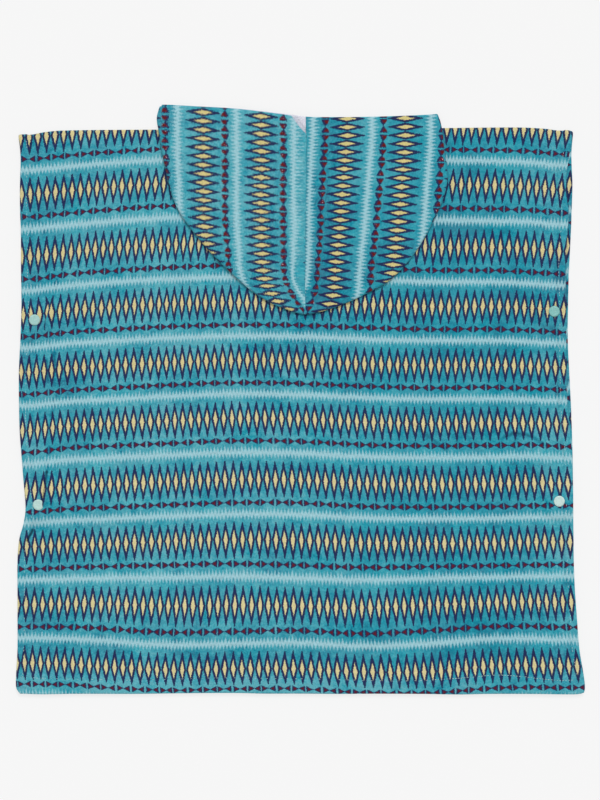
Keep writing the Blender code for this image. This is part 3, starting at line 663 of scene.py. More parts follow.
def panel_heights(x, y, sides):
    """Underside and top of the front panel, then of the back panel, over points of the floor plan."""
    hem = np.maximum(ease((SIDE_HEM + HEM_STEP - from_side(x, sides)) / HEM_STEP),
                     ease((read(HEM_LINE, x) + ROW_INSET + HEM_STEP - y) / HEM_STEP))
    thickness = blend(blend(WALL, HEM_WALL, hem), PRESSED_WALL, stud_share(x, y, THICK_RADIUS))
    front_low = FRONT_CLOTH_Z * stud_share(x, y, FRONT_SPREAD)
    front_high = front_low + thickness
    free = ease(hood_clearance(x, y) / CREASE_RUN) * ease(from_edge(x, y, sides) / CREASE_RUN)
    free = free * ease((CREASE_TOP - y) / CREASE_RUN)
    lift = np.maximum(CREASE_LIFT * free + creases(x, y)[0] * np.maximum(free, CREASE_LEAST), 0.0)
    back_low = blend(front_high + GAP + folds(x, y) + lift, BACK_CLOTH_Z, stud_share(x, y, BACK_SPREAD))
    back_low = back_low + tuck_height(x, y)
    return front_low, front_high, back_low, back_low + thickness


def body_levels():
    """Distances across the body at which its columns lie, as shares, and the rows' heights at both sides."""
    width = SIDES[0][2] - SIDES[0][1]
    half = list(NEAR_SIDE) + spread(NEAR_SIDE[-1], FINE_SIDE, FINE_STEP)
    middle = spread(FINE_SIDE, width - FINE_SIDE, COLUMN_STEP)[:-1]
    shares = np.array(half + middle + [width - level for level in reversed(half)]) / width
    near_bottom = [BOTTOM_Y + level for level in NEAR_BOTTOM]
    left_keys = (BOTTOM_Y, near_bottom[-1], STUDS[1][2], STUDS[0][2], SHOULDER[0][1] - FOLD_RADIUS)
    right_keys = (BOTTOM_Y, near_bottom[-1], STUDS[3][2], STUDS[2][2], SHOULDER[-1][1] - FOLD_RADIUS)

    def rows(step):
        left = np.array(near_bottom + spread(near_bottom[-1], left_keys[-1], step))
        return left, np.interp(left, left_keys, right_keys)

    return shares, rows(ROW_STEP), rows(FRONT_ROW_STEP)


def follow_hem(x, y):
    """Draws the grid's lowest rows along the bottom edge and its row of stitches."""
    level = y - BOTTOM_Y
    edge, hem = read(BOTTOM_EDGE, x) - BOTTOM_Y, read(HEM_LINE, x) - BOTTOM_Y - HEM_ROW
    below, above = blend(edge, hem, np.clip(level / HEM_ROW, 0.0, 1.0)), hem * fade(level - HEM_ROW, HEM_EASE)
    return y + np.where(level < HEM_ROW, below, above)


def panel_points(shares, rows, panel):
    """Floor plan of a panel's grid, x and y, and the panel's left and right sides beside every point."""
    left_y, right_y = (level[:, None] for level in rows)
    y = blend(left_y, right_y, shares[None, :])
    left, right = panel_sides(panel, left_y, right_y)
    x = blend(left, right, shares[None, :])
    straight = blend(SHOULDER[0][1], SHOULDER[-1][1], shares[None, :])
    upper = STUDS[0][2]
    climb = ease((y - upper) / (straight - upper - FOLD_RADIUS))
    y = follow_hem(x, y + climb * (read(SHOULDER, x) - straight))
    return np.array([x, y, left + 0 * x, right + 0 * x])


def open_neck(x, y, panel):
    """Moves a panel's rows so that they end at the neckline."""
    top = read(SHOULDER, x) - FOLD_RADIUS
    share = np.sqrt(np.clip(1.0 - (x / NECK_HALF_WIDTH) ** 2, 0.0, 1.0))
    neckline = NECK_LINE - (NECK_SCOOP * share if panel == "front" else 0.0)
    moved = NECK_EASE + (y - NECK_EASE) * (neckline - NECK_EASE) / (top - NECK_EASE)
    return np.where((np.abs(x) < NECK_HALF_WIDTH) & (y > NECK_EASE), moved, y)


def open_post_holes(x, y, kept, first_row):
    """Leaves out the square over each stud's post, and draws the points round it out to the hole."""
    for _, stud_x, stud_y in STUDS:
        away = np.hypot(x - stud_x, y - stud_y)
        row, column = np.unravel_index(np.argmin(away), away.shape)
        row -= y[row, column] > stud_y if first_row == 0 else y[row, column] < stud_y
        column -= x[row, column] > stud_x
        kept[first_row + row, column] = False
        out = blend(POST_HOLE, HOLE_REACH, away / HOLE_REACH) / np.maximum(away, LEAST_AWAY)
        out = np.where(away < HOLE_REACH, out, 1)
        x[:], y[:] = stud_x + (x - stud_x) * out, stud_y + (y - stud_y) * out


def nap_and_shade_at(x, y):
    """How the pile lies at points of the body, 0 deep and 1 brushed pale, with painted shade that takes it lower,
    below 0 in pinches, on creases' falling sides and in patches beside the hood, and a painted highlight along
    creases' ridges.
    """
    nap_and_shade = read(NAP_ACROSS, x) + read(NAP_UP, y)
    for centre_x, centre_y, reach_x, reach_y, change in NAP_AND_SHADE_PATCHES:
        nap_and_shade += change * fade(np.hypot((x - centre_x) / reach_x, (y - centre_y) / reach_y), 1.0)
    for *line, width, depth in PINCH_SHADE_LINES:
        nap_and_shade -= depth * fade(along_line(x, y, line)[0], width)
    height, falling = creases(x, y)
    return nap_and_shade + CREASE_SHINE * np.maximum(height, 0.0) - CREASE_SHADE * falling


def cut_along_creases(item):
    """Cuts the back panel's squares finer where it is creased and along its shaded pinches, and sets the new points at
    their heights and their nap with its painted shade.
    """
    mesh = bmesh.new()
    mesh.from_mesh(item.data)
    centres = np.array([face.calc_center_median()[:] for face in mesh.faces]) / MILLIMETRE
    up = np.array([face.normal.z > 0.5 and face.material_index == 0 for face in mesh.faces])
    near = np.zeros(len(centres), bool)
    for *line, width, _ in CREASES + PINCH_SHADE_LINES:
        near |= along_line(centres[:, 0], centres[:, 1], line)[0] < width * CUT_WIDTHS + CUT_MARGIN
    chosen = near & up & (centres[:, 2] > 2 * WALL)
    edges = {edge for face, wanted in zip(mesh.faces, chosen) if wanted for edge in face.edges}
    made = bmesh.ops.subdivide_edges(mesh, edges=sorted(edges, key=lambda edge: edge.index), cuts=CREASE_CUTS,
                                     use_grid_fill=True)
    added = [point for point in made["geom_inner"] if isinstance(point, bmesh.types.BMVert)]
    x, y = np.array([point.co[:2] for point in added]).T / MILLIMETRE
    sides = panel_sides("back", y, y)
    heights = panel_heights(x, y, sides)[3] - hem_groove(x, y, sides)
    layer = mesh.verts.layers.float["nap_and_shade"]
    for point, height, nap_and_shade in zip(added, heights, nap_and_shade_at(x, y)):
        point.co.z = height * MILLIMETRE
        point[layer] = nap_and_shade
    mesh.to_mesh(item.data)
    mesh.free()


def make_body(finishes):
    """Both panels and the shoulder fold as one shell, row by row from the back's hem over to the front's."""
    shares, back_rows, front_rows = body_levels()
    back, front = panel_points(shares, back_rows, "back"), panel_points(shares, front_rows, "front")[:, ::-1]
    top_row = back[:, -1].copy()
    for grid, panel in ((back, "back"), (front, "front")):
        grid[1] = open_neck(grid[0], grid[1], panel)
    back_count, front_count = back.shape[1], front.shape[1]
    kept = np.ones((back_count + FOLD_STEPS + front_count - 1, len(shares) - 1), bool)
    at_neck = np.abs(top_row[0]) < NECK_HALF_WIDTH
    kept[back_count - 1:back_count + FOLD_STEPS, at_neck[1:] & at_neck[:-1]] = False
    open_post_holes(back[0], back[1], kept, 0)
    open_post_holes(front[0], front[1], kept, back_count + FOLD_STEPS)
    back[0] = gather_at_tucks(back[0], back[1])

    def panel_layer(x, y, sides, z_outer, z_inner, place):
        hem = (from_side(x, sides) < SIDE_HEM) | (y < read(HEM_LINE, x) + HEM_TURN)
        return spots(x, y, z_outer), spots(x, y, z_inner), np.stack(place, axis=-1), nap_and_shade_at(x, y), hem

    x, y, *sides = back
    _, _, low, high = panel_heights(x, y, sides)
    low, high = rounded(low, high - hem_groove(x, y, sides), from_edge(x, y, sides))
    back_layer = panel_layer(x, y, sides, high, low, body_print(x, y))

    x, y, *sides = front
    low, high, _, _ = panel_heights(x, y, sides)
    low, high = rounded(low, high, from_edge(x, y, sides))
    front_layer = panel_layer(x, y, sides, low, high, front_print(x, y))

    x, y, *sides = top_row
    low, front_high, _, high = panel_heights(x, y, sides)
    wall = front_high - low
    turns = np.radians(np.linspace(90.0, -90.0, FOLD_STEPS + 2)[1:-1])[:, None]
    middle, radius = (low + high) / 2, (high - low) / 2
    side = from_side(x, sides)
    diamond, repeat = body_print(x, y)
    arc = (math.pi / 2 - turns) * radius / REPEAT_HEIGHT
    x, y, diamond = x + 0 * turns, y + 0 * turns, diamond + 0 * turns
    inner, outer = (spots(x, y + reach * np.cos(turns), middle + reach * np.sin(turns))
                    for reach in rounded(radius - wall, radius, side))
    fold_layer = (outer, inner, np.stack([diamond, repeat - arc], axis=-1), nap_and_shade_at(x, y),
                  np.broadcast_to(side < SIDE_HEM, x.shape))

    outer, inner, places, naps_and_shade, hem = (np.concatenate(group) for group in zip(back_layer, fold_layer, front_layer))
    body = cloth("body_cloth", outer, inner, places, naps_and_shade, RUFFLED_BODY, kept, hem[:-1, :-1] & hem[1:, 1:], finishes)
    cut_along_creases(body)
    return body


# ================================================================ hood

def hood_level(level, x_column):
    """The seam's height, and the place of the hood's edge, at a level counted along its rows."""
    table = [(k, *row) for k, row in enumerate(HOOD_ROWS)]
    return [float(read(table, level, column)) for column in (1, x_column + 1, x_column + 2)]


def hood_height(x, y):
    """The hood droops beyond the shoulders."""
    return HOOD_Z - HOOD_DROOP * np.maximum(0.0, y - read(SHOULDER, x)) ** 2


def rim_rise(x, edge_x, edge_y, level):
    """How far the hood's topmost rows rise to follow its rim."""
    if level >= RIM_ROWS:
        return 0.0
    share = (x - SEAM[0][1]) / (edge_x - SEAM[0][1])
    return (read(RIM, x) - blend(HOOD_ROWS[0][0], edge_y, share)) * fade(level, RIM_ROWS)


def outward(level, x_column, side):
    """Which way the hood's edge faces."""
    last = len(HOOD_ROWS) - 1
    if level == last:
        return 0.0, -1.0
    before = hood_level(max(level - HOOD_LEVEL_STEP, 0.0), x_column)
    after = hood_level(min(level + HOOD_LEVEL_STEP, last), x_column)
    run = math.hypot(after[1] - before[1], after[2] - before[2])
    down = -abs(after[1] - before[1]) / run if level > STRAIGHT_ROWS else 0.0
    return side * abs(after[2] - before[2]) / run, down


def make_hood_half(name, x_column, side, finishes):
    """One half of the hood: its top layer, the folded edge and the layer beneath, row by row from the open edge."""
    top_seam, *rim_end = HOOD_ROWS[0][0], HOOD_ROWS[0][x_column], HOOD_ROWS[0][x_column + 1]
    last = len(HOOD_ROWS) - 1
    across = np.array(list(HOOD_NEAR_SEAM) + spread(HOOD_NEAR_SEAM[-1], 1.0, 1.0 / HOOD_TOP_COLUMNS))
    under = np.linspace(1.0, 0.0, HOOD_UNDER_COLUMNS) ** HOOD_CROWDING
    turns = np.radians(np.linspace(90.0, -90.0, HOOD_FOLD_STEPS + 2)[1:-1])
    grids = []
    for level in list(HOOD_NEAR_RIM) + spread(HOOD_NEAR_RIM[-1], last, last / HOOD_ROW_COUNT):
        seam_y, edge_x, edge_y = hood_level(level, x_column)
        seam_x = float(read(SEAM, seam_y)) + side * SEAM_GAP / 2
        out_x, out_y = outward(level, x_column, side)
        fullness = 1.0 - level / last
        radius = WALL + (GAP + HOOD_EDGE_LOFT * float(ease(fullness / HOOD_EDGE_RUN))) / 2
        end_x = (seam_x if level == last else edge_x) - out_x * radius
        end_y = edge_y - out_y * radius
        from_rim = top_seam - seam_y
        opened = max(0.0, 1.0 - from_rim / NOTCH_DEPTH) if side < 0 else 0.0
        top_x = seam_x - NOTCH_WIDTH * opened**NOTCH_BEND

        def layer(shares, start_x):
            x, y = blend(start_x, end_x, shares), blend(seam_y, end_y, shares)
            y = y + rim_rise(x, *rim_end, level)
            return x, y, hood_height(x, y)

        def whole(top, fold, beneath):
            return np.concatenate([top, fold, beneath], axis=0)

        x, y, z = layer(across, top_x)
        swell = HOOD_LOFT * np.sin(math.pi * across) * ease(fullness / HOOD_LOFT_RUN)
        z = z + WALL + blend(GAP, 2 * (radius - WALL), across**3) + swell
        from_seam = np.hypot(x - top_x, y - seam_y)
        pulled = groove(from_rim - RIM_HEM, x, RIM_GROOVE, 3.0) + SEAM_DIP * fade(from_seam, SEAM_RUN)
        low, high = rounded(z, z + WALL - pulled, np.minimum(from_seam if opened else np.inf, from_rim + 0 * x))
        fold_middle = hood_height(np.array(end_x), np.array(end_y)) + radius
        fold_low, fold_high = rounded(radius - WALL, radius, np.array(from_rim))
        under_x, under_y, under_z = layer(under, seam_x)
        puff = NOTCH_FULLNESS * ease((under_x - top_x) / NOTCH_RUN) * ease(opened * NOTCH_PUFF) if side < 0 else 0.0
        under_low, under_high = rounded(under_z, under_z + WALL + puff, from_rim + 0 * under_x)
        faces = []
        for top, fold, beneath in ((high, fold_high, under_low), (low, fold_low, under_high)):
            out = fold * np.cos(turns)
            bend = spots(end_x + out_x * out, end_y + out_y * out, fold_middle + fold * np.sin(turns))
            faces.append(whole(spots(x, y, top), bend, spots(under_x, under_y, beneath)))

        # The print runs on round the folded edge and back beneath, as on the flat cloth
        off_x, off_y = out_x / math.hypot(out_x, out_y), out_y / math.hypot(out_x, out_y)
        flat = (under_x - end_x) * -off_x + (under_y - end_y) * -off_y
        beyond = whole(0 * x, (math.pi / 2 - turns) * radius, 2 * flat + math.pi * radius)
        shown_x, shown_y = whole(x, end_x + 0 * turns, under_x), whole(y, end_y + 0 * turns, under_y)
        place = np.stack(hood_print(shown_x + off_x * beyond, shown_y + off_y * beyond, side), axis=-1)
        nap_and_shade = (read(HOOD_NAP_LEFT, shown_y) + read(HOOD_LEFT_NAP_AND_EDGE_SHADE, shown_x) if side < 0
               else read(HOOD_RIGHT_NAP_AND_EDGE_SHADE, shown_x) + read(HOOD_NAP_RIGHT_UP, shown_y))
        grids.append((*faces, place, nap_and_shade))
    outer, inner, places, naps_and_shade = (np.array(group)[::-1, ::side] for group in zip(*grids))
    kept = np.ones((outer.shape[0] - 1, outer.shape[1] - 1), bool)
    ruffled = RUFFLED_LEFT if side < 0 else RUFFLED_RIGHT
    return cloth(name, outer, inner, places, naps_and_shade, ruffled, kept, np.zeros_like(kept), finishes)


# ================================================================ materials

def ink(red, green, blue):
    """A colour given as 8-bit values, as a material takes it."""
    shares = [channel / 255.0 for channel in (red, green, blue)]
    return (*[c / 12.92 if c <= 0.04045 else ((c + 0.055) / 1.055) ** 2.4 for c in shares], 1.0)


def fill_in(tree, node, values):
    """Sets a node's sockets, and links those that take a figure."""
    for socket, value in values.items():
        if isinstance(value, Figure):
            tree.links.new(value.source, node.inputs[socket])
        else:
            node.inputs[socket].default_value = value


def new_figure(tree, kind, values={}, output=0, **settings):
    """What a new node gives, once it has its settings and its sockets are filled in."""
    node = tree.nodes.new(kind)
    for name, setting in settings.items():
        setattr(node, name, setting)
    fill_in(tree, node, values)
    return Figure(tree, node.outputs[output])


class Figure:
    """A number or colour worked out at each point of a surface."""

    def __init__(self, tree, source):
        self.tree, self.source = tree, source

    def worked(self, kind, *others):
        return new_figure(self.tree, "ShaderNodeMath", dict(enumerate((self, *others))), operation=kind)

    def over(self, low, high):
        """Goes softly from 0 to 1 as the number goes from low to high."""
        return new_figure(self.tree, "ShaderNodeMapRange", {"Value": self, "From Min": low, "From Max": high},
                          interpolation_type="SMOOTHSTEP")

    def parts(self):
        node = new_figure(self.tree, "ShaderNodeSeparateXYZ", {0: self}).source.node
        return [Figure(self.tree, output) for output in node.outputs]

    def grain(self, size, detail=2.0, roughness=0.5):
        """Soft noise at this spot, with lumps about size across."""
        return new_figure(self.tree, "ShaderNodeTexNoise", {
            "Vector": self, "Scale": 1.0 / size, "Detail": detail, "Roughness": roughness}, "Fac")

    def uneven(self, amount, size, detail=2.0, roughness=0.5):
        """The same noise, swinging by an amount about nothing."""
        return (self.grain(size, detail, roughness) - 0.5) * amount


for title, kind in (("__add__", "ADD"), ("__sub__", "SUBTRACT"), ("__mul__", "MULTIPLY"), ("__truediv__", "DIVIDE"),
                    ("__pow__", "POWER"), ("__abs__", "ABSOLUTE"), ("whole", "FLOOR"), ("least", "MINIMUM"),
                    ("most", "MAXIMUM"), ("within", "FLOORED_MODULO")):
    setattr(Figure, title, lambda figure, *others, kind=kind: figure.worked(kind, *others))


def place(tree, across, up, third=0.0):
    return new_figure(tree, "ShaderNodeCombineXYZ", {0: across, 1: up, 2: third})


def chance(across, up, third=0.0):
    """An even random number for each whole place."""
    tree = across.tree
    return new_figure(tree, "ShaderNodeTexWhiteNoise", {"Vector": place(tree, across, up, third)}, "Value")


def mixed(share, first, second):
    return new_figure(share.tree, "ShaderNodeMix", {0: share, 6: first, 7: second}, 2, data_type="RGBA")


def new_finish(name, fixed):
    """A material, its node tree and its shader, which has its fixed values."""
    finish = bpy.data.materials.new(name)
    finish.use_nodes = True
    tree = finish.node_tree
    shader = tree.nodes["Principled BSDF"]
    fill_in(tree, shader, fixed)
    return finish, tree, shader


def surface(tree, shader, colour, roughness, height, strength, distance):
    """Gives a shader its worked colour, roughness and relief."""
    normal = new_figure(tree, "ShaderNodeBump", {"Strength": strength, "Distance": distance, "Height": height})
    fill_in(tree, shader, {"Base Color": colour, "Roughness": roughness, "Normal": normal})


def cloth_spot(tree):
    """Diamond and repeat counts from the print's map, and the same spot in millimetres."""
    diamond, repeat, _ = new_figure(tree, "ShaderNodeUVMap", uv_map="print").parts()
    return diamond, repeat, place(tree, diamond * COLUMN_WIDTH, repeat * REPEAT_HEIGHT)


def own_spot(tree):
    """Where a spot lies on the object, in metres."""
    return new_figure(tree, "ShaderNodeTexCoord", output="Object")


def held(tree, name):
    """A number that the cloth's points hold."""
    return new_figure(tree, "ShaderNodeAttribute", output="Fac", attribute_name=name)


# TEAL_SHADE is painted shade, which the ground reaches where the nap values fall below 0; TEAL_HAZE is brushed pile
# with a painted sheen.
TEAL_SHADE = ink(1, 108, 133)
TEAL_DEEP = ink(2, 136, 157)
TEAL = ink(60, 161, 176)
TEAL_HAZE = ink(88, 171, 183)
TEAL_DUST = ink(114, 146, 165)
TEAL_CLEAR = ink(20, 147, 166)
TEAL_SHEEN = ink(205, 232, 238)
NAVY = ink(31, 33, 78)
STRAW = ink(210, 198, 144)
STRAW_RICH = ink(208, 195, 132)
STRAW_PALE = ink(212, 201, 149)
CRIMSON = ink(100, 19, 18)
ROSE = ink(206, 176, 196)
PALE = ink(157, 199, 208)
LOOPS = ink(240, 240, 247)
LOOP_SHADE = ink(212, 212, 226)
MINT_COOL = ink(124, 183, 178)
MINT_PALE = ink(192, 215, 210)
THREAD = ink(196, 214, 214)
THREAD_SHADE = ink(150, 188, 194)

# Motif sizes, as shares of a repeat's height or of a diamond's width. The print repeats after 24 diamonds.
REPEAT_DIAMONDS = 24.0
DIAMOND_HALF_HEIGHT = 0.296
DIAMOND_HALF_WIDTH = 0.995
DIAMOND_TIP = 0.11        # half width left at the two ends
TIP_SHARPNESS = 20.0      # how fast a diamond closes past its ends
HEART_HALF_HEIGHT = 0.156
HEART_HALF_WIDTH = 0.495
DIAMOND_BLUR = (-0.07, 0.07)
TALLNESS = (0.96, 0.08)   # the least of a diamond's height, and what chance adds to it
WIDENESS = (0.93, 0.14)   # the same of its heart's width
PALE_HEARTS = (4.3, 4.7)  # repeats between which the hearts turn paler
TRIANGLE_LINE = 0.378
TRIANGLE_HALF_HEIGHT = 0.06
TRIANGLE_LENGTH = 0.76
TRIANGLE_LEAN = 0.016     # the most that a pair slopes
TRIANGLE_TAPER = 0.88     # below 1 its sides bulge
TRIANGLE_BLUR = (-0.007, 0.006)
BASE_BLUR = (-0.04, 0.03)
HOOD_FULLNESS = (-0.25, 0.008, -0.001)  # what the hood adds to the taper, the half height and the crimson's height
LINK_HALF_HEIGHT = 0.008  # of the thin line between one pair and the next
LINK_BLUR = (-0.005, 0.005)
LINK_START = (0.3, 0.6)
CRIMSON_INSET = 0.0185    # how far the crimson stays inside its triangle's sides
CRIMSON_BLUR = (-0.012, 0.014)
CRIMSON_START = 0.17      # and how far along the triangle it lies
CRIMSON_END = 0.5
MISPRINT = 0.021          # how far the crimson lies off its triangles on the hood
PALE_LINE = 0.572
SPIKES = 58.0             # to a whole repeat
SPIKE_UP = 0.108
SPIKE_DOWN = 0.096
SPIKE_FULLNESS = 1.18
SPIKE_SHARPNESS = 1.25
SPIKE_LENGTH = (0.66, 0.34)
SPIKE_WAVER = 0.01
SPIKE_BLUR = (-0.03, 0.024)
PALE_CORE = 0.012
# Pairs of triangles in one repeat: where the gap between their bases lies, and its half width
PAIRS = (
    (0.0, 0.055), (1.79, 0.12), (3.54, 0.1), (5.12, 0.065), (6.92, 0.13), (8.63, 0.1), (10.27, 0.065), (12.09, 0.135),
    (13.83, 0.115), (15.5, 0.125), (17.2, 0.095), (18.79, 0.065), (20.58, 0.135), (22.34, 0.1), (24.0, 0.055),
)


def diamonds(diamond, repeat):
    """Navy diamonds and their straw-coloured hearts, as shares from 0 to 1."""
    column, row = (diamond + 0.5).whole(), (repeat + 0.5).whole()
    counted = column.within(REPEAT_DIAMONDS)
    tall, wide = varied(counted, 1.0, TALLNESS), varied(counted, 2.0, WIDENESS)
    across = abs(diamond - column) * 2.0
    up = abs(repeat - row) / tall
    outline = (up * ((DIAMOND_TIP - DIAMOND_HALF_WIDTH) / DIAMOND_HALF_HEIGHT) + DIAMOND_HALF_WIDTH
               - (up - DIAMOND_HALF_HEIGHT).most(0.0) * TIP_SHARPNESS)
    heart = (up / -HEART_HALF_HEIGHT + 1.0) * HEART_HALF_WIDTH
    return [(edge - across).over(*DIAMOND_BLUR) for edge in (outline, heart * wide)]


def chance_of(k):
    """A fixed share from 0 to 1 for a whole number."""
    return (math.sin(k * 12.9898 + 4.1) * 43758.5453) % 1.0


def varied(across, row, sizes):
    """A size that chance gives each whole place: the least of it, and what is added."""
    least, more = sizes
    return chance(across, row) * more + least


def triangles(diamond, repeat, ruffled, on_hood):
    """Pairs of triangles, base to base: their navy shape and their crimson fill, both fuller where ruffled."""
    tree, along = diamond.tree, diamond.within(REPEAT_DIAMONDS)
    chart = tree.nodes.new("ShaderNodeValToRGB")
    chart.color_ramp.interpolation = "CONSTANT"
    fill_in(tree, chart, {"Fac": along / REPEAT_DIAMONDS})
    stops = chart.color_ramp.elements
    stops.remove(stops[1])
    for k, (centre, half_gap) in enumerate(PAIRS):
        start = max(0.0, (PAIRS[k - 1][0] + centre) / 2 / REPEAT_DIAMONDS) if k else 0.0
        stop = stops.new(start) if k else stops[0]
        stop.position = start
        stop.color = (centre / REPEAT_DIAMONDS, half_gap, chance_of(k), 1.0)
    centre, half_gap, lean = Figure(tree, chart.outputs["Color"]).parts()
    from_centre = along - centre * REPEAT_DIAMONDS
    row = (repeat + 0.5 - TRIANGLE_LINE).whole()
    from_line = repeat - row - TRIANGLE_LINE + (lean - 0.5) * TRIANGLE_LEAN * from_centre
    up = abs(from_line)
    into = abs(from_centre) - half_gap
    fuller_taper, fuller, fuller_fill = (on_hood * more for more in HOOD_FULLNESS)
    taper = (into / -TRIANGLE_LENGTH + 1.0).most(0.0) ** (fuller_taper + TRIANGLE_TAPER)
    half_height = taper * (fuller + TRIANGLE_HALF_HEIGHT)
    shape = (half_height - up).over(*TRIANGLE_BLUR) * into.over(*BASE_BLUR)
    link = (up * -1.0 + LINK_HALF_HEIGHT).over(*LINK_BLUR) * into.over(*LINK_START) * 0.85
    beside = abs(from_line + on_hood * MISPRINT)
    fill = (half_height - beside + fuller_fill + ruffled * 0.01 - CRIMSON_INSET).over(*CRIMSON_BLUR)
    fill = fill * (into + on_hood * 0.05 - CRIMSON_START).over(-0.07, 0.07)
    return shape.most(link), fill * (into * -1.0 + CRIMSON_END).over(-0.08, 0.08)


def pale_spikes(diamond, repeat):
    """The pale band, whose soft spikes are of uneven length."""
    row = (repeat + 0.5 - PALE_LINE).whole()
    up = repeat - row - PALE_LINE
    along = diamond.within(REPEAT_DIAMONDS) * (SPIKES / REPEAT_DIAMONDS)
    waver = (chance(along.whole(), 3.0) - 0.5) * SPIKE_WAVER
    sides = []
    for way, reach, shift in ((-1.0, SPIKE_UP, 0.0), (1.0, SPIKE_DOWN, 0.5)):
        spike = (along + shift).whole()
        length = varied(spike, 4.0 + way, SPIKE_LENGTH)
        point = (abs(along + shift - spike - 0.5) * -2.0 + 1.0) ** SPIKE_SHARPNESS
        height = point * length * (reach - PALE_CORE) * SPIKE_FULLNESS + PALE_CORE
        sides.append((height - (up + waver) * way).over(*SPIKE_BLUR))
    return sides[0] * sides[1] * (abs(up) * -3.2 + 1.06).least(1.0)


# Noises of the pile: the size of their lumps in millimetres, their detail and their roughness
FUZZ = (1.4, 3.0, 0.7)
FRAY = (1.2, 3.0, 0.7)
DRIFT = (9.0,)
SWAY = (14.0,)
CLOUDS = (42.0, 3.0, 0.55)
TUFTS = (7.0, 3.0, 0.6)
FIBRES = (1.8, 3.0, 0.65)
BROAD_DUST = (24.0, 0.0)
FINE_DUST = (4.5, 2.0, 0.6)
GLINTS = (2.6, 1.0)
FLECKS = (0.9, 1.0)
SPECKLE = (0.8, 2.0, 0.7)
DAPPLE = (2.4,)
PILE = (0.8, 3.0, 0.7)
TUFT_RELIEF = (3.2,)
GLOSS = (5.0,)
TANGLE = (1.0, 3.0, 0.65)
HOOD_RUFFLE = (0.16, 0.38)    # the pile is ruffled more than this on the hood alone
CLEAR_FROM = (-0.03, 0.11)    # metres across between which the teal turns clearer
CLEAR_TO = (0.225, 0.285)     # and dusty again
CLEAR_NAP = (0.75, 1.0)       # brushed pile hides it
CLOTH_RELIEF = 0.0014         # metres of the cloth's bumps, and then of the plastic's and the thread's
FINE_RELIEF = 0.0001


def teal_ground(spot, nap_and_shade):
    """The ground's teals, from painted shade through deep pile to brushed pile with its painted sheen haze, with a
    clearer teal to the right of the middle.
    """
    tree = spot.tree
    pile_and_shade = nap_and_shade + (spot.uneven(3.1, *CLOUDS) + spot.uneven(3.6, *TUFTS)) + spot.uneven(2.8, *FIBRES)
    ramp = tree.nodes.new("ShaderNodeValToRGB")
    fill_in(tree, ramp, {"Fac": (pile_and_shade + 0.43) / 2.0})
    stops = ramp.color_ramp.elements
    stops[0].color, stops[1].color = TEAL_SHADE, TEAL_HAZE
    stops.new(0.25).color, stops.new(0.75).color = TEAL_DEEP, TEAL
    dust = spot.uneven(0.3, *BROAD_DUST) + spot.uneven(0.4, *FINE_DUST) + 0.12
    across = own_spot(tree).parts()[0]
    clear = across.over(*CLEAR_FROM) * (across.over(*CLEAR_TO) * -1.0 + 1.0) * (nap_and_shade.over(*CLEAR_NAP) * -0.3 + 0.3)
    return mixed(clear, mixed(dust, Figure(tree, ramp.outputs["Color"]), TEAL_DUST), TEAL_CLEAR)


def printed_velour():
    """Cut-pile terry with its print: a teal ground, rows of diamonds, small triangles and a pale spiked band."""
    finish, tree, shader = new_finish("printed_velour", {
        "Specular IOR Level": 0.12, "Sheen Weight": 0.12, "Sheen Roughness": 0.5, "Sheen Tint": TEAL_SHEEN})
    diamond, repeat, spot = cloth_spot(tree)
    nap_and_shade, ruffled = held(tree, "nap_and_shade"), held(tree, "ruffled")
    on_hood = ruffled.over(*HOOD_RUFFLE)
    ragged = diamond + spot.uneven(ruffled * 0.55 + 0.2, *FUZZ) + spot.uneven(0.14, *DRIFT)
    raised = repeat + spot.uneven(ruffled * 0.085 + 0.02, *FRAY) + spot.uneven(0.01, *SWAY)
    shape, fill = triangles(ragged, raised, ruffled, on_hood)
    navy, hearts = diamonds(ragged, raised)
    glint = spot.grain(*GLINTS).over(0.66, 0.73) * fill * on_hood * 0.75
    straw = mixed(on_hood, mixed(repeat.over(*PALE_HEARTS), STRAW, STRAW_PALE), STRAW_RICH)
    flecks = spot.grain(*FLECKS).over(0.64, 0.76) * ruffled * 0.4
    colour = teal_ground(spot, nap_and_shade)
    for share, tone in ((pale_spikes(ragged, raised) * 0.92, PALE), (shape.most(navy) * 0.97, NAVY),
                        (fill * 0.95, CRIMSON), (glint, ROSE), (hearts * 0.97, straw), (flecks, PALE)):
        colour = mixed(share, colour, tone)
    speckle_and_shade = spot.uneven(0.66, *SPECKLE) + spot.uneven(0.5, *DAPPLE) + 1.0
    # Painted shade: where the nap values fall far below 0, as in the pinches, every colour of the print darkens, down
    # to 0.35 of itself
    speckle_and_shade = speckle_and_shade * ((nap_and_shade + 0.45).least(0.0) * 0.5 + 1.0).most(0.35)
    colour = new_figure(tree, "ShaderNodeVectorMath", {0: colour, "Scale": speckle_and_shade}, operation="SCALE")
    pile = spot.grain(*PILE) * 0.5 + spot.grain(*TUFT_RELIEF) * 0.5 + spot.grain(*SWAY) * 0.5
    surface(tree, shader, colour, spot.grain(*GLOSS) * 0.16 + 0.8, pile, 0.6, CLOTH_RELIEF)
    return finish


def loop_terry():
    """The unprinted reverse: rows of small white loops."""
    finish, tree, shader = new_finish("loop_terry", {"Specular IOR Level": 0.1, "Sheen Weight": 0.1})
    _, _, spot = cloth_spot(tree)
    loops = new_figure(tree, "ShaderNodeTexVoronoi", {"Vector": spot, "Scale": 1.0 / LOOP_SIZE}, "Distance")
    tangle = spot.grain(*TANGLE)
    depth = (loops * 0.8 + tangle * 0.5).over(0.1, 0.95)
    relief = depth * -1.0 + spot.grain(*DRIFT)
    surface(tree, shader, mixed(depth, LOOPS, LOOP_SHADE), tangle * 0.1 + 0.86, relief, 0.7, CLOTH_RELIEF)
    return finish


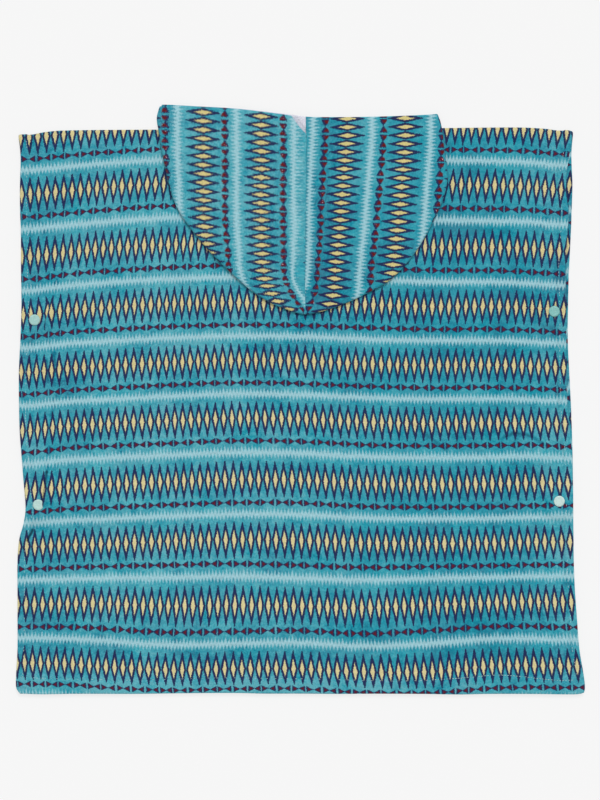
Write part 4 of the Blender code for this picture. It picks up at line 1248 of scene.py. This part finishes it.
def moulded_plastic():
    """Matt mint plastic of the press studs, with the faint marks of its mould."""
    finish, tree, shader = new_finish("stud_plastic", {
        "Specular IOR Level": 0.4, "Subsurface Weight": 0.15, "Subsurface Radius": (0.002, 0.002, 0.002),
        "Subsurface Scale": 1.0})
    spot = own_spot(tree)
    left, lower = (part.over(-0.05, 0.05) * -1.0 + 1.0 for part in spot.parts()[:2])
    batch = lower * (left * -0.27 + 1.0) + (lower * -1.0 + 1.0) * left * 0.4
    cloud = spot.uneven(0.5, 0.003) + spot.uneven(0.8, 0.0009)
    surface(tree, shader, mixed(batch + cloud, MINT_COOL, MINT_PALE), spot.grain(0.0012, 3.0) * 0.2 + 0.3,
            spot.grain(0.0005), 0.12, FINE_RELIEF)
    return finish


def sewing_thread():
    """The hems' thread, with its twist."""
    finish, tree, shader = new_finish("sewing_thread", {})
    twist = own_spot(tree).grain(0.0006)
    surface(tree, shader, mixed(twist, THREAD_SHADE, THREAD), twist * 0.2 + 0.6, twist, 0.4, FINE_RELIEF)
    return finish


def plain_floor():
    return new_finish("pale_floor", {
        "Base Color": (0.15, 0.15, 0.15, 1.0), "Emission Color": WHITE, "Emission Strength": 0.765,
        "Roughness": 1.0, "Specular IOR Level": 0.0})[0]


# ================================================================ studs and stitches

def make_cap(name, x, y, base, way, finish):
    """A moulded cap, turned about the stud's axis. way is 1 with its crown up and -1 with its crown down."""
    turns = [2 * math.pi * k / CAP_SEGMENTS * way for k in range(CAP_SEGMENTS)]
    points = [(x + radius * math.cos(turn), y + radius * math.sin(turn), base + way * height)
              for radius, height in CAP_SECTION[1:-1] for turn in turns]
    steps = [(k, (k + 1) % CAP_SEGMENTS) for k in range(CAP_SEGMENTS)]
    starts = range(0, len(points), CAP_SEGMENTS)
    faces = [(here + k, there + k, there + following, here + following)
             for here, there in zip(starts, starts[1:]) for k, following in steps]
    for height, ring, order in ((CAP_SECTION[0][1], starts[0], 1), (CAP_SECTION[-1][1], starts[-1], -1)):
        faces += [(ring + k, ring + following, len(points))[::order] for k, following in steps]
        points.append((x, y, base + way * height))
    mesh = new_mesh(name, points, [], faces, [finish])
    mesh.shade_smooth()
    return show(name, mesh)


def stitch_tree(finish):
    """Sets a small stitch at every step of a path, each sunk a little differently into the pile."""
    tree = bpy.data.node_groups.new("stitches", "GeometryNodeTree")
    tree.is_modifier = True
    for name in ("Geometry", *STITCH_SIZES, "Sink", "Seed"):
        kind = {"Geometry": "NodeSocketGeometry", "Seed": "NodeSocketInt"}.get(name, "NodeSocketFloat")
        tree.interface.new_socket(name, in_out="INPUT", socket_type=kind)
    tree.interface.new_socket("Geometry", in_out="OUTPUT", socket_type="NodeSocketGeometry")
    source = tree.nodes.new("NodeGroupInput")
    given = {output.name: Figure(tree, output) for output in source.outputs if output.name}

    def step(kind, values={}, output=0, **settings):
        return new_figure(tree, kind, values, output, **settings)

    path = step("GeometryNodeMeshToCurve", {"Mesh": given["Geometry"]})
    steps = step("GeometryNodeResampleCurve", {"Curve": path, "Length": given["Pitch"]}, mode="LENGTH")
    size = place(tree, given["Width"], given["Height"], given["Length"])
    bead = step("GeometryNodeMeshUVSphere", {"Segments": 6, "Rings": 5, "Radius": 0.5})
    bead = step("GeometryNodeTransform", {"Geometry": bead, "Scale": size})
    bead = step("GeometryNodeTransform", {"Geometry": bead, "Rotation": (math.pi / 2, 0.0, math.pi / 2)})
    aim = step("FunctionNodeAlignRotationToVector", {"Vector": step("GeometryNodeInputTangent")}, axis="X")
    row = step("GeometryNodeInstanceOnPoints", {"Points": steps, "Instance": bead, "Rotation": aim})
    uneven = step("FunctionNodeRandomValue", {"Seed": given["Seed"]}, 1, data_type="FLOAT")
    down = place(tree, 0.0, 0.0, uneven * given["Sink"])
    row = step("GeometryNodeTranslateInstances", {"Instances": row, "Translation": down, "Local Space": False})
    row = step("GeometryNodeRealizeInstances", {"Geometry": row})
    row = step("GeometryNodeSetShadeSmooth", {"Geometry": row})
    row = step("GeometryNodeSetMaterial", {"Geometry": row, "Material": finish})
    fill_in(tree, tree.nodes.new("NodeGroupOutput"), {"Geometry": row})
    return tree


def make_stitches(name, paths, tree, finish, sink):
    """Stitches along paths, each an array of points in millimetres."""
    ends = np.cumsum([len(path) for path in paths])
    edges = [(k, k + 1) for k in range(ends[-1] - 1) if k + 1 not in ends]
    item = show(name + "_path", new_mesh(name + "_path", np.concatenate(paths), edges, []))
    modifier = item.modifiers.new("stitches", "NODES")
    modifier.node_group = tree
    values = {name: size * MILLIMETRE for name, size in {**STITCH_SIZES, "Sink": sink}.items()}
    values["Seed"] = STITCH_SEED
    for socket in tree.interface.items_tree:
        if socket.in_out == "INPUT" and socket.name in values:
            modifier[socket.identifier] = values[socket.name]
    bpy.context.view_layer.update()
    shape = bpy.data.meshes.new_from_object(item.evaluated_get(bpy.context.evaluated_depsgraph_get()))
    bpy.data.objects.remove(item)
    shape.name = name
    shape.materials.clear()
    shape.materials.append(finish)
    return show(name, shape)


def panel_path(x, y, panel):
    """Points of a stitch path on the outside of a panel."""
    sides = panel_sides(panel, y, y)
    front_low, _, _, back_high = panel_heights(x, y, sides)
    return spots(x, y, front_low + FRONT_THREAD_Z if panel == "front"
                 else back_high - hem_groove(x, y, sides) + BACK_THREAD_Z)


def hem_paths(panel):
    """The hems' rows of stitches: along the bottom, up the left side and up the right side."""
    across = np.arange(-HEM_ROW_REACH, HEM_ROW_REACH, PATH_STEP)
    bottom = panel_path(across, read(HEM_LINE, across) + 0.2 * np.sin(across / 19.0), panel)
    if panel == "back":
        bottom[:, 2] += THREAD_LIFT * ease((across - THREAD_LIFT_FROM) / THREAD_LIFT_RUN)
    up = np.arange(SIDE_ROW_FOOT, SIDE_ROW_TOP, PATH_STEP)
    wander = 0.35 * np.sin(up / 37.0) + 0.2 * np.sin(up / 13.0)
    left, right = panel_sides(panel, up, up)
    inside = SIDE_HEM - ROW_INSET
    return [bottom, panel_path(left + inside + wander, up, panel), panel_path(right - inside + wander, up, panel)]


# ================================================================ set

def make_set(finish):
    """The floor and a soft studio light."""
    corners = [(-FLOOR_SIZE, -FLOOR_SIZE, 0), (FLOOR_SIZE, -FLOOR_SIZE, 0), (FLOOR_SIZE, FLOOR_SIZE, 0),
               (-FLOOR_SIZE, FLOOR_SIZE, 0)]
    floor = show("floor", new_mesh("floor", corners, [], [(0, 1, 2, 3)], [finish]))
    floor.location.z = FLOOR_Z * MILLIMETRE
    world = bpy.data.worlds.new("studio")
    world.use_nodes = True
    fill_in(world.node_tree, world.node_tree.nodes["Background"], {"Color": WHITE, "Strength": 0.5})
    bpy.context.scene.world = world
    for name, strength, angle, direction in (("key", 1.83, 24.0, (-0.12, -0.6, -0.9)),
                                             ("fill", 0.3, 60.0, (0.2, 0.5, -0.9))):
        lamp = bpy.data.lights.new(name, "SUN")
        lamp.energy = strength
        lamp.angle = math.radians(angle)
        item = show(name, lamp)
        item.rotation_mode = "QUATERNION"
        item.rotation_quaternion = Vector(direction).to_track_quat("-Z", "Y")
    view = bpy.context.scene.view_settings
    view.view_transform = "Standard"
    view.look = "None"


def make_camera():
    """Straight above the middle, through a long lens."""
    data = bpy.data.cameras.new("camera")
    data.sensor_width = SENSOR
    data.lens = SENSOR * CAMERA_HEIGHT / (FRAME_HEIGHT * PIXEL * MILLIMETRE)
    data.clip_end = 100.0
    camera = show("camera", data)
    camera.matrix_world = Matrix.Translation((CAMERA_X, CAMERA_Y, CAMERA_HEIGHT))
    bpy.context.scene.camera = camera


def main():
    velour, loops, plastic, thread = printed_velour(), loop_terry(), moulded_plastic(), sewing_thread()
    make_camera()
    make_set(plain_floor())
    body = make_body((velour, loops))
    left = make_hood_half("hood_left_cloth", 1, -1, (velour, loops))
    right = make_hood_half("hood_right_cloth", 3, 1, (velour, loops))
    tree = stitch_tree(thread)
    back_stitches = make_stitches("hem_stitches_back", hem_paths("back"), tree, thread, -STITCH_SINK)
    front_stitches = make_stitches("hem_stitches_front", hem_paths("front"), tree, thread, STITCH_SINK)
    bpy.data.node_groups.remove(tree)
    for piece, node in ((body, "body"), (left, "hood_left"), (right, "hood_right")):
        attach(piece, "root")
        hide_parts(node)
    for piece in (back_stitches, front_stitches):
        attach(piece, "root")
    for name, x, y in STUDS:
        for end, base, way in (("back_cap", BACK_CAP_Z, 1), ("front_cap", CAP_HEIGHT, -1)):
            cap = make_cap("moulded_" + name + "_" + end, x, y, base, way, plastic)
            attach(cap, "root")
            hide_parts("stud_" + name + "_" + end)
        for end in ("socket", "ball"):
            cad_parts["stud_" + name + "_" + end].data.materials[0] = plastic


main()
